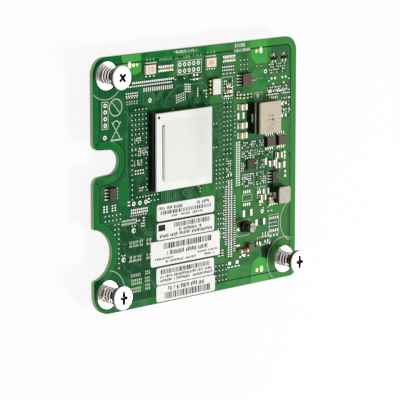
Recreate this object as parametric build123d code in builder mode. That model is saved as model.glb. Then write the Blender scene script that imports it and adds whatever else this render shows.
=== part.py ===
from build123d import *
import os
from math import sqrt

# Server mezzanine adapter card, lying with its component side up.
# Millimetres. X runs along the long side, Y along the short side, and Z is up.
# The origin is under the middle of the card, level with the connector's mating face.

os.makedirs("parts", exist_ok=True)

# Circuit board
card_length = 114.3
card_width = 101.6
card_thickness = 1.6
top_left_radius = 6.5
top_right_radius = 6.0
bottom_right_radius = 3.0
bottom_left_radius = 8.0
notch_depth = 13.5
notch_width = 11.1
notch_end_radius = 4.95
notch_entry_radius = 3.2
notch_height_share = 0.093
bay_radius = 10.25
bay_overhang = 0.6
bay_entry_radius = 1.2
bay_height_share = -0.262
cut_overrun = 1.0
seat_gap = 0.02

# Underside connector
connector_height = 6.5
connector_length = 43.0
connector_width = 15.0
connector_flange_height = 2.2
connector_flange_reach = 1.4
connector_corner_cut = 2.0
connector_edge_break = 0.4
connector_clearance = 3.2
connector_rise_share = 0.099
channel_width = 2.2
channel_spacing = 6.0
channel_depth = 4.3
channel_end_wall = 2.0
contact_pitch = 2.54
contact_thickness = 0.35
contact_width = 1.2
contact_recess = 0.3

# Captive screws
screw_left_inset = 6.9
screw_right_inset = 7.35
screw_top_inset = 7.2
screw_bottom_inset = 7.9
flange_radius = 5.6
flange_thickness = 0.6
barrel_radius = 3.2
barrel_bore_radius = 2.3
barrel_reach = 0.6
lip_bore_radius = 1.4
lip_thickness = 0.8
spring_turns = 4.3
spring_steps = 69
spring_outer_radius = 3.5
spring_wire_radius = 0.34
spring_wire_sides = 4
head_radius = 4.8
head_thickness = 1.7
head_face_rise = 9.1
head_edge_break = 0.4
screw_neck_radius = 1.25
thread_radius = 1.5
thread_tip_chamfer = 0.4
retained_gap = 0.05
tip_floor_gap = 0.05
recess_depth = 1.1
recess_length = 4.2
recess_width = 1.2
recess_angles = {"top_left": 40, "bottom_left": 0, "bottom_right": 0}
recess_taper = 12

# Main chip
chip_side = 31.2
chip_ball_height = 0.5
chip_ball_inset = 0.9
chip_substrate_thickness = 1.1
chip_frame_thickness = 0.9
chip_frame_inset = 0.25
chip_lid_thickness = 0.6
chip_lid_edge_radius = 0.2
chip_groove_length = 23.0
chip_groove_width = 1.5
chip_groove_depth = 0.25
chip_groove_place_shares = (-0.372, -0.012)
chip_dimple_radius = 0.5
chip_dimple_depth = 0.15
chip_dimple_place_shares = (-0.452, 0.448)
chip_place_shares = (-0.0936, 0.1073)

# Large inductor
large_inductor_length = 12.3
large_inductor_width = 13.0
large_inductor_height = 5.0
large_inductor_plate = 0.9
large_inductor_gap = 0.7
large_inductor_band = 0.9
large_inductor_gap_inset = 0.5
large_inductor_corner = 0.5
large_inductor_clip_width = 3.4
large_inductor_clip_height = 2.2
large_inductor_clip_thickness = 0.3
large_inductor_place_shares = (0.3233, 0.1860)

# Small inductor
small_inductor_side = 7.0
small_inductor_height = 3.6
small_inductor_corner = 1.1
small_inductor_top_break = 0.25
small_inductor_terminal_width = 2.6
small_inductor_terminal_height = 1.6
small_inductor_terminal_thickness = 0.25
small_inductor_length_share = 0.4130
small_inductor_drop = 22.8

# Electrolytic capacitor
can_radius = 2.2
can_height = 5.0
can_base_side = 4.6
can_base_height = 0.9
can_base_corner_cut = 0.9
can_crimp_depth = 0.18
can_crimp_height = 0.5
can_crimp_rise = 0.5
can_rim_break = 0.2
can_place_shares = (0.2301, -0.2549)

# Crystal oscillator
oscillator_length = 5.0
oscillator_width = 7.0
oscillator_height = 1.6
oscillator_lid_thickness = 0.35
oscillator_lid_inset = 0.35
oscillator_castellation_depth = 0.35
oscillator_castellation_width = 0.9
oscillator_castellation_count = 3
oscillator_castellation_pitch = 2.2
oscillator_place_shares = (0.0787, 0.3337)

# Status lamps
lamp_length = 5.4
lamp_width = 3.6
lamp_height = 1.1
lamp_window_length = 3.0
lamp_window_width = 2.0
lamp_window_depth = 0.5
lamp_place_shares = ((-0.2380, 0.4331), (0.0560, 0.4321))

# Leaded chips
lead_thickness = 0.15
lead_foot = 0.6
lead_rise_run = 0.15
body_standoff = 0.15
mould_draft = 6
eight_lead_count = 4
eight_lead_pitch = 1.27
eight_lead_width = 0.42
narrow_body_length = 4.9
narrow_body_width = 3.9
narrow_body_height = 1.5
narrow_span = 6.0
wide_body_length = 5.3
wide_body_width = 5.3
wide_body_height = 1.8
wide_span = 7.9
left_driver_place_shares = (-0.4173, -0.0315)
memory_place_shares = (0.2318, 0.3455)
power_transistor_length_shares = (0.3596, 0.4191)
power_transistor_clearance = 1.5

# More parts lined up under the power transistors: places along the card, drops below the transistors
right_driver_length_share = 0.3841
right_driver_drop = 15.1
supply_capacitor_length_shares = (0.3640, 0.4042, 0.4150)
supply_capacitor_drops = (9.1, 6.1, 10.4)
right_capacitor_length_share = 0.3660
right_capacitor_drop = 25.3
small_transistor_length = 2.9
small_transistor_width = 1.3
small_transistor_height = 1.0
small_transistor_span = 2.6
small_transistor_pitch = 1.9
small_transistor_lead_width = 0.42
small_transistor_foot = 0.3
small_transistor_place_shares = ((0.3815, 0.4173), (0.4339, 0.4183))

# Leadless regulator chip
regulator_side = 4.0
regulator_height = 0.95
regulator_pad_thickness = 0.05
regulator_pad_inset = 0.2
regulator_place_shares = (0.2581, -0.0030)

# Diode and its neighbour
diode_radius = 0.95
diode_length = 4.2
diode_cap_length = 0.6
diode_cap_swell = 0.06
diode_place_shares = (0.2205, -0.3540)
choke_length = 2.6
choke_width = 3.2
choke_height = 1.9
choke_edge_break = 0.15
choke_clearance = 0.3
choke_rise = 1.0

# Chip capacitors and resistors: length, width, height and end length of each size
large_chip_length = 3.2
large_chip_width = 2.4
large_chip_height = 1.4
large_chip_end = 0.6
small_chip_length = 2.0
small_chip_width = 1.25
small_chip_height = 0.8
small_chip_end = 0.4
tiny_chip_length = 1.4
tiny_chip_width = 0.75
tiny_chip_height = 0.5
tiny_chip_end = 0.3
array_length = 3.2
array_width = 1.6
array_height = 0.55
array_end = 0.35
array_finger_width = 0.42
array_finger_pitch = 0.8
array_finger_count = 4
large_capacitor_place_shares = (
    (0.2205, 0.2352), (0.2205, 0.1614), (0.2205, 0.1201),
)
small_capacitor_place_shares = (
    (0.3010, -0.1235), (0.3120, -0.1640), (0.1495, -0.0315), (0.1440, 0.3280), (0.1470, 0.3060),
)
small_resistor_place_shares = ((0.2990, -0.3336), (0.3410, -0.3320))
upright_tiny_place_shares = (
    (-0.3340, -0.2440), (-0.3180, -0.2440), (-0.2870, -0.2440), (-0.2540, -0.2440), (-0.2400, -0.2440),
    (-0.3340, -0.3000), (-0.3160, -0.3000), (-0.2950, -0.3000), (-0.2540, -0.3000), (-0.2400, -0.3000),
)
array_place_shares = (
    (0.1330, 0.4370), (0.1640, 0.4370), (-0.1780, 0.4300), (-0.1460, 0.4300),
)

# Underside decoupling capacitors, in a grid behind the main chip
underside_columns = 3
underside_rows = 3
underside_pitch_share = 0.28

# Labels, from left, bottom, right and top edges
label_thickness = 0.1
label_corner = 1.0
label_edges_shares = {
    "label_top": (-0.2038, -0.1720, 0.0785, -0.1055),
    "label_second": (-0.2040, -0.2475, 0.0786, -0.1800),
    "label_wide": (-0.2337, -0.3513, 0.1063, -0.2515),
    "label_fourth": (-0.2066, -0.4274, 0.0779, -0.3584),
    "label_bottom": (-0.2070, -0.4960, 0.0823, -0.4305),
}

# Levels and places that follow
underside = connector_height
card_top = connector_height + card_thickness
half_length = card_length / 2
half_width = card_width / 2
screw_left = screw_left_inset - half_length
screw_right = half_length - screw_right_inset
screw_top = half_width - screw_top_inset
screw_bottom = screw_bottom_inset - half_width
screw_places = {
    "top_left": (screw_left, screw_top),
    "bottom_left": (screw_left, screw_bottom),
    "bottom_right": (screw_right, screw_bottom),
}
flange_top = card_top + flange_thickness
head_face = flange_top + head_face_rise
head_underside = head_face - head_thickness
barrel_end = underside - barrel_reach
lip_top = barrel_end + lip_thickness
channel_count = 2
channel_length = connector_length - connector_flange_reach - channel_end_wall * 2
contact_rows = int((channel_length - contact_width) / contact_pitch) + 1


def on_card(shares):
    """A place on the card, from shares of its length and width about its centre."""
    return shares[0] * card_length, shares[1] * card_width


def keep(piece, label):
    """Labels a finished piece and writes it."""
    piece.part.label = label
    export_step(piece.part, f"parts/{label}.step")


def make_board():
    notch_y = notch_height_share * card_width
    bay_y = bay_height_share * card_width
    bay_chord = sqrt(bay_radius**2 - bay_overhang**2)
    with BuildPart() as board:
        with BuildSketch(Plane.XY.offset(underside)) as outline:
            Rectangle(card_length, card_width)
            corners = (
                (-half_length, half_width, top_left_radius),
                (half_length, half_width, top_right_radius),
                (half_length, -half_width, bottom_right_radius),
                (-half_length, -half_width, bottom_left_radius),
            )
            for x, y, radius in corners:
                fillet(outline.vertices().sort_by_distance((x, y))[0], radius)
            notch_end = notch_depth - notch_end_radius
            with Locations((-half_length, notch_y)):
                Polygon(
                    (-cut_overrun, notch_width / 2),
                    (-cut_overrun, -notch_width / 2),
                    (notch_end, -notch_end_radius),
                    (notch_end, notch_end_radius),
                    align=None,
                    mode=Mode.SUBTRACT,
                )
            with Locations((notch_end - half_length, notch_y)):
                Circle(notch_end_radius, mode=Mode.SUBTRACT)
            with Locations((-half_length - bay_overhang, bay_y)):
                Circle(bay_radius, mode=Mode.SUBTRACT)
            entries = (
                (notch_y + notch_width / 2, notch_entry_radius),
                (notch_y - notch_width / 2, notch_entry_radius),
                (bay_y + bay_chord, bay_entry_radius),
                (bay_y - bay_chord, bay_entry_radius),
            )
            for y, radius in entries:
                fillet(outline.vertices().sort_by_distance((-half_length, y))[0], radius)
            with Locations(*screw_places.values()):
                Circle(barrel_radius + seat_gap, mode=Mode.SUBTRACT)
        extrude(amount=card_thickness)
    return board


def make_ferrules():
    """Flanged sleeves pressed into the board, each with an inner lip that holds its screw in."""
    with BuildPart() as ferrules:
        for place in screw_places.values():
            with BuildSketch(Plane((*place, 0), x_dir=(1, 0, 0), z_dir=(0, -1, 0))):
                with BuildLine():
                    Polyline(
                        (barrel_bore_radius, flange_top),
                        (flange_radius, flange_top),
                        (flange_radius, card_top),
                        (barrel_radius, card_top),
                        (barrel_radius, barrel_end),
                        (lip_bore_radius, barrel_end),
                        (lip_bore_radius, lip_top),
                        (barrel_bore_radius, lip_top),
                        close=True,
                    )
                make_face()
            revolve(axis=Axis((*place, 0), (0, 0, 1)))
    return ferrules


def make_spring(place):
    """Compression spring that fills the space between flange and head, in short straight steps."""
    coil_radius = spring_outer_radius - spring_wire_radius
    coil_start = flange_top + spring_wire_radius
    coil_height = head_underside - spring_wire_radius - coil_start
    with BuildPart() as spring:
        with BuildLine() as coil:
            pitch = coil_height / spring_turns
            helix = Helix(pitch, coil_height, coil_radius, center=(*place, coil_start), mode=Mode.PRIVATE)
            Polyline(*[helix @ (step / spring_steps) for step in range(spring_steps + 1)])
        with BuildSketch(Plane(coil.line @ 0, z_dir=coil.line % 0)):
            RegularPolygon(spring_wire_radius, spring_wire_sides)
        sweep(path=coil.line, transition=Transition.RIGHT)
    return spring


def make_screw(place, recess_angle):
    """Captive screw: flat head, cross recess, thin neck and threaded end."""
    thread_top = barrel_end - retained_gap
    with BuildPart() as screw:
        with BuildSketch(Plane((*place, 0), x_dir=(1, 0, 0), z_dir=(0, -1, 0))):
            with BuildLine():
                Polyline(
                    (0, head_face),
                    (head_radius, head_face),
                    (head_radius, head_underside),
                    (screw_neck_radius, head_underside),
                    (screw_neck_radius, thread_top),
                    (thread_radius, thread_top),
                    (thread_radius, tip_floor_gap + thread_tip_chamfer),
                    (thread_radius - thread_tip_chamfer, tip_floor_gap),
                    (0, tip_floor_gap),
                    close=True,
                )
            make_face()
        revolve(axis=Axis((*place, 0), (0, 0, 1)))
        chamfer(screw.edges().group_by(Axis.Z)[-1], head_edge_break)
        with BuildSketch(Plane((*place, head_face))):
            Rectangle(recess_length, recess_width, rotation=recess_angle)
            Rectangle(recess_width, recess_length, rotation=recess_angle)
        extrude(amount=-recess_depth, taper=recess_taper, mode=Mode.SUBTRACT)
    return screw


def make_connector_housing(centre):
    """Connector body: flange against the board, and a mating block with two long channels."""
    with BuildPart() as housing:
        with BuildSketch(Plane((*centre, underside))):
            Rectangle(connector_width, connector_length)
        extrude(amount=-connector_flange_height)
        with BuildSketch(Plane((*centre, underside - connector_flange_height))) as block:
            Rectangle(connector_width - connector_flange_reach, connector_length - connector_flange_reach)
            chamfer(block.vertices().group_by(Axis.Y)[-1].sort_by(Axis.X)[0], connector_corner_cut)
        extrude(amount=connector_flange_height - connector_height)
        chamfer(housing.faces().sort_by(Axis.Z)[0].edges(), connector_edge_break)
        with BuildSketch(Plane((*centre, 0))):
            with GridLocations(channel_spacing, 0, channel_count, 1):
                Rectangle(channel_width, channel_length)
        extrude(amount=channel_depth, mode=Mode.SUBTRACT)
    return housing


def make_connector_contacts(centre):
    """Contact blades that line both walls of each channel."""
    reach = (channel_width - contact_thickness) / 2
    with BuildPart() as contacts:
        for channel in GridLocations(channel_spacing, 0, channel_count, 1).locations:
            for side in (-reach, reach):
                column = (centre[0] + channel.position.X + side, centre[1], contact_recess)
                with BuildSketch(Plane(column)):
                    with GridLocations(0, contact_pitch, 1, contact_rows):
                        Rectangle(contact_thickness, contact_width)
                extrude(amount=channel_depth - contact_recess)
    return contacts


def make_slab(centre, level, length, width, height, corner=0):
    """A plate on the plane at the given level, with upright edges rounded."""
    with BuildPart() as slab:
        with BuildSketch(Plane((*centre, level))):
            if corner > 0:
                RectangleRounded(length, width, corner)
            else:
                Rectangle(length, width)
        extrude(amount=height)
    return slab


def make_main_chip(centre):
    level = card_top
    ball_side = chip_side - chip_ball_inset * 2
    keep(make_slab(centre, level, ball_side, ball_side, chip_ball_height), "chip_solder_layer")
    level += chip_ball_height
    keep(make_slab(centre, level, chip_side, chip_side, chip_substrate_thickness), "chip_substrate")
    level += chip_substrate_thickness
    frame_side = chip_side - chip_frame_inset * 2
    keep(make_slab(centre, level, frame_side, frame_side, chip_frame_thickness), "chip_frame")
    level += chip_frame_thickness
    lid_top = level + chip_lid_thickness
    groove = tuple(share * chip_side for share in chip_groove_place_shares)
    dimple = tuple(share * chip_side for share in chip_dimple_place_shares)
    with BuildPart() as lid:
        with BuildSketch(Plane((*centre, level))):
            Rectangle(chip_side, chip_side)
        extrude(amount=chip_lid_thickness)
        chamfer(lid.faces().sort_by(Axis.Z)[-1].edges(), chip_lid_edge_radius)
        with BuildSketch(Plane((*centre, lid_top))):
            with Locations(groove):
                SlotOverall(chip_groove_length, chip_groove_width, rotation=90)
        extrude(amount=-chip_groove_depth, mode=Mode.SUBTRACT)
        with BuildSketch(Plane((*centre, lid_top))):
            with Locations(dimple):
                Circle(chip_dimple_radius)
        extrude(amount=-chip_dimple_depth, mode=Mode.SUBTRACT)
    keep(lid, "chip_lid")


def make_large_inductor(centre):
    """Flat-wire power inductor: base, winding band, dark gap and top plate, with two clips."""
    length, width, corner = large_inductor_length, large_inductor_width, large_inductor_corner
    base_height = large_inductor_height - large_inductor_plate - large_inductor_gap - large_inductor_band
    band_level = card_top + base_height
    plate_level = card_top + large_inductor_height - large_inductor_plate
    keep(make_slab(centre, card_top, length, width, base_height), "large_inductor_base")
    with BuildPart() as winding:
        with BuildSketch(Plane((*centre, band_level))):
            Rectangle(length, width)
        extrude(amount=large_inductor_band)
        with BuildSketch(Plane((*centre, band_level + large_inductor_band))):
            inner = large_inductor_gap_inset * 2
            Rectangle(length - inner, width - inner)
        extrude(amount=large_inductor_gap)
    keep(winding, "large_inductor_winding")
    keep(make_slab(centre, plate_level, length, width, large_inductor_plate, corner), "large_inductor_plate")
    with BuildPart() as clips:
        with BuildSketch(Plane((*centre, card_top))):
            with Locations(
                (-(length + large_inductor_clip_thickness) / 2, 0),
                ((length + large_inductor_clip_thickness) / 2, 0),
            ):
                Rectangle(large_inductor_clip_thickness, large_inductor_clip_width)
        extrude(amount=large_inductor_clip_height)
    keep(clips, "large_inductor_terminals")


def make_small_inductor(centre):
    side = small_inductor_side
    with BuildPart() as body:
        with BuildSketch(Plane((*centre, card_top))):
            RectangleRounded(side, side, small_inductor_corner)
        extrude(amount=small_inductor_height)
        chamfer(body.faces().sort_by(Axis.Z)[-1].edges(), small_inductor_top_break)
    keep(body, "small_inductor_body")
    reach = (side + small_inductor_terminal_thickness) / 2
    with BuildPart() as terminals:
        with BuildSketch(Plane((*centre, card_top))):
            with Locations((-reach, 0), (reach, 0)):
                Rectangle(small_inductor_terminal_thickness, small_inductor_terminal_width)
        extrude(amount=small_inductor_terminal_height)
    keep(terminals, "small_inductor_terminals")


def make_can(centre):
    """Small electrolytic capacitor: square base with two cut corners, and a crimped can."""
    with BuildPart() as base:
        with BuildSketch(Plane((*centre, card_top))) as foot:
            Rectangle(can_base_side, can_base_side)
            chamfer(foot.vertices().group_by(Axis.X)[0], can_base_corner_cut)
        extrude(amount=can_base_height)
    keep(base, "electrolytic_base")
    base_top = card_top + can_base_height
    crimp_low = base_top + can_crimp_rise
    crimp_high = crimp_low + can_crimp_height
    top = card_top + can_height
    with BuildPart() as can:
        with BuildSketch(Plane((*centre, 0), x_dir=(1, 0, 0), z_dir=(0, -1, 0))):
            with BuildLine():
                Polyline(
                    (0, top),
                    (can_radius - can_rim_break, top),
                    (can_radius, top - can_rim_break),
                    (can_radius, crimp_high),
                    (can_radius - can_crimp_depth, (crimp_high + crimp_low) / 2),
                    (can_radius, crimp_low),
                    (can_radius, base_top),
                    (0, base_top),
                    close=True,
                )
            make_face()
        revolve(axis=Axis((*centre, 0), (0, 0, 1)))
    keep(can, "electrolytic_can")


def make_oscillator(centre):
    """Ceramic base with castellations down its long sides, and a metal lid."""
    base_height = oscillator_height - oscillator_lid_thickness
    lid_length = oscillator_length - oscillator_lid_inset * 2
    lid_width = oscillator_width - oscillator_lid_inset * 2
    with BuildPart() as base:
        with BuildSketch(Plane((*centre, card_top))):
            Rectangle(oscillator_length, oscillator_width)
            rows = GridLocations(
                oscillator_length, oscillator_castellation_pitch, 2, oscillator_castellation_count
            )
            with rows:
                Rectangle(
                    oscillator_castellation_depth * 2, oscillator_castellation_width, mode=Mode.SUBTRACT
                )
        extrude(amount=base_height)
    keep(base, "oscillator_base")
    lid = make_slab(
        centre, card_top + base_height, lid_length, lid_width, oscillator_lid_thickness, oscillator_lid_inset
    )
    keep(lid, "oscillator_lid")


def make_lamps(places):
    """Status lamps: white bodies with a window well, and the amber fills in the wells."""
    well_floor = card_top + lamp_height - lamp_window_depth
    with BuildPart() as bodies:
        with BuildSketch(Plane.XY.offset(card_top)):
            with Locations(*places):
                Rectangle(lamp_length, lamp_width)
        extrude(amount=lamp_height)
        with BuildSketch(Plane.XY.offset(well_floor)):
            with Locations(*places):
                Rectangle(lamp_window_length, lamp_window_width)
        extrude(amount=lamp_window_depth, mode=Mode.SUBTRACT)
    keep(bodies, "lamp_bodies")
    with BuildPart() as windows:
        with BuildSketch(Plane.XY.offset(well_floor)):
            with Locations(*places):
                Rectangle(lamp_window_length, lamp_window_width)
        extrude(amount=lamp_window_depth)
    keep(windows, "lamp_windows")


def chip_plane(centre, turned):
    """The plane of a leaded chip on the card, with its rows of leads at its local X ends."""
    across = (0, 1, 0) if turned else (1, 0, 0)
    return Plane((*centre, card_top), x_dir=across, z_dir=(0, 0, 1))


def make_moulded_body(plane, width, length, height):
    """Moulded body that tapers up and down from its parting line."""
    parting = body_standoff + (height - body_standoff) / 2
    with BuildPart() as body:
        with BuildSketch(plane.offset(parting)):
            Rectangle(width, length)
        extrude(amount=height - parting, taper=mould_draft)
        with BuildSketch(plane.offset(parting)):
            Rectangle(width, length)
        extrude(amount=body_standoff - parting, taper=mould_draft)
    return body


def lead_profile(plane, offset, side, body_edge, tip, shoulder_level, foot):
    """The side profile of one gull-wing lead, from the body's edge out to its foot."""
    across, along = plane.x_dir, plane.y_dir
    root = plane.origin + along * offset
    upper = shoulder_level + lead_thickness / 2
    lower = shoulder_level - lead_thickness / 2
    heel = tip - foot
    shoulder = heel - lead_rise_run
    with BuildSketch(Plane(root, x_dir=across * side, z_dir=across.cross(plane.z_dir) * side)) as profile:
        with BuildLine():
            Polyline(
                (body_edge, upper),
                (shoulder, upper),
                (heel, lead_thickness),
                (tip, lead_thickness),
                (tip, 0),
                (heel - lead_thickness, 0),
                (shoulder - lead_thickness, lower),
                (body_edge, lower),
                close=True,
            )
        make_face()
    return profile.sketch


def make_eight_lead_chips(name, planes, width, length, height, span):
    """Like chips with four leads down each side: their bodies in one node, their leads in another."""
    with BuildPart() as bodies:
        for plane in planes:
            add(make_moulded_body(plane, width, length, height).part)
    keep(bodies, f"{name}_bodies")
    shoulder_level = body_standoff + (height - body_standoff) / 2
    first = -eight_lead_pitch * (eight_lead_count - 1) / 2
    with BuildPart() as leads:
        for plane in planes:
            for side in (-1, 1):
                for number in range(eight_lead_count):
                    offset = first + eight_lead_pitch * number
                    profile = lead_profile(
                        plane, offset, side, width / 2, span / 2, shoulder_level, lead_foot
                    )
                    extrude(profile, amount=eight_lead_width / 2, both=True)
    keep(leads, f"{name}_leads")


def make_small_transistors():
    """Two three-lead transistors: one lead on the far side, two on the near side."""
    shoulder_level = body_standoff + (small_transistor_height - body_standoff) / 2
    with BuildPart() as bodies:
        for shares in small_transistor_place_shares:
            plane = chip_plane(on_card(shares), True)
            with BuildSketch(plane.offset(shoulder_level)):
                Rectangle(small_transistor_width, small_transistor_length)
            extrude(amount=small_transistor_height - shoulder_level, taper=mould_draft)
            with BuildSketch(plane.offset(shoulder_level)):
                Rectangle(small_transistor_width, small_transistor_length)
            extrude(amount=body_standoff - shoulder_level, taper=mould_draft)
    keep(bodies, "small_transistor_bodies")
    half_pitch = small_transistor_pitch / 2
    with BuildPart() as leads:
        for shares in small_transistor_place_shares:
            plane = chip_plane(on_card(shares), True)
            for offset, side in ((0, 1), (-half_pitch, -1), (half_pitch, -1)):
                profile = lead_profile(
                    plane,
                    offset,
                    side,
                    small_transistor_width / 2,
                    small_transistor_span / 2,
                    shoulder_level,
                    small_transistor_foot,
                )
                extrude(profile, amount=small_transistor_lead_width / 2, both=True)
    keep(leads, "small_transistor_leads")


def make_regulator(centre):
    pad_side = regulator_side - regulator_pad_inset * 2
    keep(make_slab(centre, card_top, pad_side, pad_side, regulator_pad_thickness), "regulator_pads")
    body_level = card_top + regulator_pad_thickness
    body_height = regulator_height - regulator_pad_thickness
    keep(make_slab(centre, body_level, regulator_side, regulator_side, body_height), "regulator_body")


def make_diode(centre):
    """Round glass diode lying on the card, with a metal cap on each end."""
    cap_radius = diode_radius + diode_cap_swell
    body_half = diode_length / 2 - diode_cap_length
    axis_level = card_top + cap_radius
    start = Plane((*centre, axis_level), x_dir=(0, 1, 0), z_dir=(1, 0, 0))
    with BuildPart() as body:
        with BuildSketch(start):
            Circle(diode_radius)
        extrude(amount=body_half, both=True)
    keep(body, "diode_body")
    with BuildPart() as caps:
        with BuildSketch(start.offset(body_half)):
            Circle(cap_radius)
        extrude(amount=diode_cap_length)
        with BuildSketch(start.offset(-body_half)):
            Circle(cap_radius)
        extrude(amount=-diode_cap_length)
    keep(caps, "diode_caps")


def make_choke(centre):
    with BuildPart() as choke:
        with BuildSketch(Plane((*centre, card_top))):
            Rectangle(choke_length, choke_width)
        extrude(amount=choke_height)
        chamfer(choke.faces().sort_by(Axis.Z)[-1].edges(), choke_edge_break)
    keep(choke, "choke_body")


def make_chips(name, places, level, length, width, height, end, upright=False, hanging=False):
    """A group of like chip components: their bodies in one node, their metal ends in another."""
    rise = -height if hanging else height
    body = length - end * 2
    reach = (length - end) / 2
    with BuildPart() as bodies:
        with BuildSketch(Plane.XY.offset(level)):
            with Locations(*places):
                Rectangle(width if upright else body, body if upright else width)
        extrude(amount=rise)
    keep(bodies, f"{name}_bodies")
    ends_at = []
    for x, y in places:
        for side in (-reach, reach):
            ends_at.append((x, y + side) if upright else (x + side, y))
    with BuildPart() as ends:
        with BuildSketch(Plane.XY.offset(level)):
            with Locations(*ends_at):
                Rectangle(width if upright else end, end if upright else width)
        extrude(amount=rise)
    keep(ends, f"{name}_ends")


def make_arrays():
    """Resistor arrays: a flat body with four metal fingers along each long side."""
    places = [on_card(shares) for shares in array_place_shares]
    reach = (array_width - array_end) / 2
    with BuildPart() as bodies:
        with BuildSketch(Plane.XY.offset(card_top)):
            with Locations(*places):
                Rectangle(array_length, array_width - array_end * 2)
        extrude(amount=array_height)
    keep(bodies, "array_bodies")
    with BuildPart() as fingers:
        with BuildSketch(Plane.XY.offset(card_top)):
            for x, y in places:
                for side in (-reach, reach):
                    with Locations((x, y + side)):
                        with GridLocations(array_finger_pitch, array_end, array_finger_count, 1):
                            Rectangle(array_finger_width, array_end)
        extrude(amount=array_height)
    keep(fingers, "array_fingers")


def make_labels():
    for label, (left, bottom, right, top) in label_edges_shares.items():
        low = on_card((left, bottom))
        high = on_card((right, top))
        centre = ((low[0] + high[0]) / 2, (low[1] + high[1]) / 2)
        length, width = high[0] - low[0], high[1] - low[1]
        keep(make_slab(centre, card_top, length, width, label_thickness, label_corner), label)


def make_underside_capacitors(centre):
    grid = GridLocations(underside_pitch, underside_pitch, underside_columns, underside_rows)
    places = [(centre[0] + spot.position.X, centre[1] + spot.position.Y) for spot in grid.locations]
    make_chips(
        "underside_capacitor",
        places,
        underside,
        small_chip_length,
        small_chip_width,
        small_chip_height,
        small_chip_end,
        hanging=True,
    )


keep(make_board(), "circuit_board")
keep(make_ferrules(), "ferrules")
for corner_name, screw_place in screw_places.items():
    keep(make_spring(screw_place), f"spring_{corner_name}")
    keep(make_screw(screw_place, recess_angles[corner_name]), f"screw_{corner_name}")
chip_centre = on_card(chip_place_shares)
underside_pitch = chip_side * underside_pitch_share
underside_left = chip_centre[0] - (underside_pitch * (underside_columns - 1) + small_chip_length) / 2
connector_centre = (
    underside_left - connector_clearance - connector_width / 2,
    connector_rise_share * card_width,
)
keep(make_connector_housing(connector_centre), "connector_housing")
keep(make_connector_contacts(connector_centre), "connector_contacts")
make_main_chip(chip_centre)
make_underside_capacitors(chip_centre)
inductor_centre = on_card(large_inductor_place_shares)
make_large_inductor(inductor_centre)
make_can(on_card(can_place_shares))
make_oscillator(on_card(oscillator_place_shares))
make_lamps([on_card(shares) for shares in lamp_place_shares])
make_eight_lead_chips(
    "memory", [chip_plane(on_card(memory_place_shares), False)],
    wide_body_width, wide_body_length, wide_body_height, wide_span,
)
transistor_y = (
    inductor_centre[1] - large_inductor_width / 2 - power_transistor_clearance - narrow_span / 2
)
make_small_inductor((small_inductor_length_share * card_length, transistor_y - small_inductor_drop))
right_driver_centre = (right_driver_length_share * card_length, transistor_y - right_driver_drop)
make_eight_lead_chips(
    "driver",
    [chip_plane(on_card(left_driver_place_shares), False), chip_plane(right_driver_centre, False)],
    narrow_body_width, narrow_body_length, narrow_body_height, narrow_span,
)
make_eight_lead_chips(
    "power_transistor",
    [chip_plane((share * card_length, transistor_y), True) for share in power_transistor_length_shares],
    narrow_body_width, narrow_body_length, narrow_body_height, narrow_span,
)
make_small_transistors()
make_regulator(on_card(regulator_place_shares))
diode_centre = on_card(diode_place_shares)
make_diode(diode_centre)
make_choke((
    diode_centre[0] + (diode_length + choke_length) / 2 + choke_clearance,
    diode_centre[1] + choke_rise,
))
supply_places = [
    (share * card_length, transistor_y - drop)
    for share, drop in zip(supply_capacitor_length_shares, supply_capacitor_drops)
]
make_chips(
    "large_capacitor",
    [on_card(shares) for shares in large_capacitor_place_shares] + supply_places,
    card_top, large_chip_length, large_chip_width, large_chip_height, large_chip_end,
)
right_place = (right_capacitor_length_share * card_length, transistor_y - right_capacitor_drop)
make_chips(
    "small_capacitor",
    [on_card(shares) for shares in small_capacitor_place_shares] + [right_place],
    card_top, small_chip_length, small_chip_width, small_chip_height, small_chip_end,
)
make_chips(
    "small_resistor", [on_card(shares) for shares in small_resistor_place_shares], card_top,
    small_chip_length, small_chip_width, small_chip_height, small_chip_end,
)
make_chips(
    "tiny_capacitor", [on_card(shares) for shares in upright_tiny_place_shares], card_top,
    tiny_chip_length, tiny_chip_width, tiny_chip_height, tiny_chip_end, upright=True,
)
make_arrays()
make_labels()
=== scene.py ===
from math import acos, atan2, cos, degrees, hypot, radians, sin, tan, tau
from random import Random

import bmesh
import bpy
from mathutils import Matrix, Vector


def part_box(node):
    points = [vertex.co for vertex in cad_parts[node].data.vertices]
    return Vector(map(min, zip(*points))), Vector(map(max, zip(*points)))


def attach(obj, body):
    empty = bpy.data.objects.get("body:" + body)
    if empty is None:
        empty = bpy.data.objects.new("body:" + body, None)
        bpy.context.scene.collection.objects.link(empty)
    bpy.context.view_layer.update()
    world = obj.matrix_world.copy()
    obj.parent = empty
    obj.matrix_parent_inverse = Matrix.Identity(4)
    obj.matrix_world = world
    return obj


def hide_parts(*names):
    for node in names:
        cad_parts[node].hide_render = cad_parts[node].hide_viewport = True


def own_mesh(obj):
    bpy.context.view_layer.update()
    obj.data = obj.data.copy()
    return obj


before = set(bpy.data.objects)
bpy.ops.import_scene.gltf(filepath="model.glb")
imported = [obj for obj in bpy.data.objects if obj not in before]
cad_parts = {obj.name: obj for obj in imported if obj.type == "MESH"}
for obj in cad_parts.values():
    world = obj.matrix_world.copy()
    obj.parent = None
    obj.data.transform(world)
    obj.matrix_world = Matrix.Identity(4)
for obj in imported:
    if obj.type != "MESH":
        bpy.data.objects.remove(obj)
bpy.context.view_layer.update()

# A server mezzanine adapter card, seen from above its component side.
# Places and sizes on the card are in millimetres, and MM turns them into metres.
MM = 0.001
CORNERS = ("top_left", "bottom_left", "bottom_right")

def read(word):
    """A word of a table, as a number where it is one."""
    try:
        return int(word) if word.lstrip("-").isdigit() else float(word)
    except ValueError:
        return word

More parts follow.
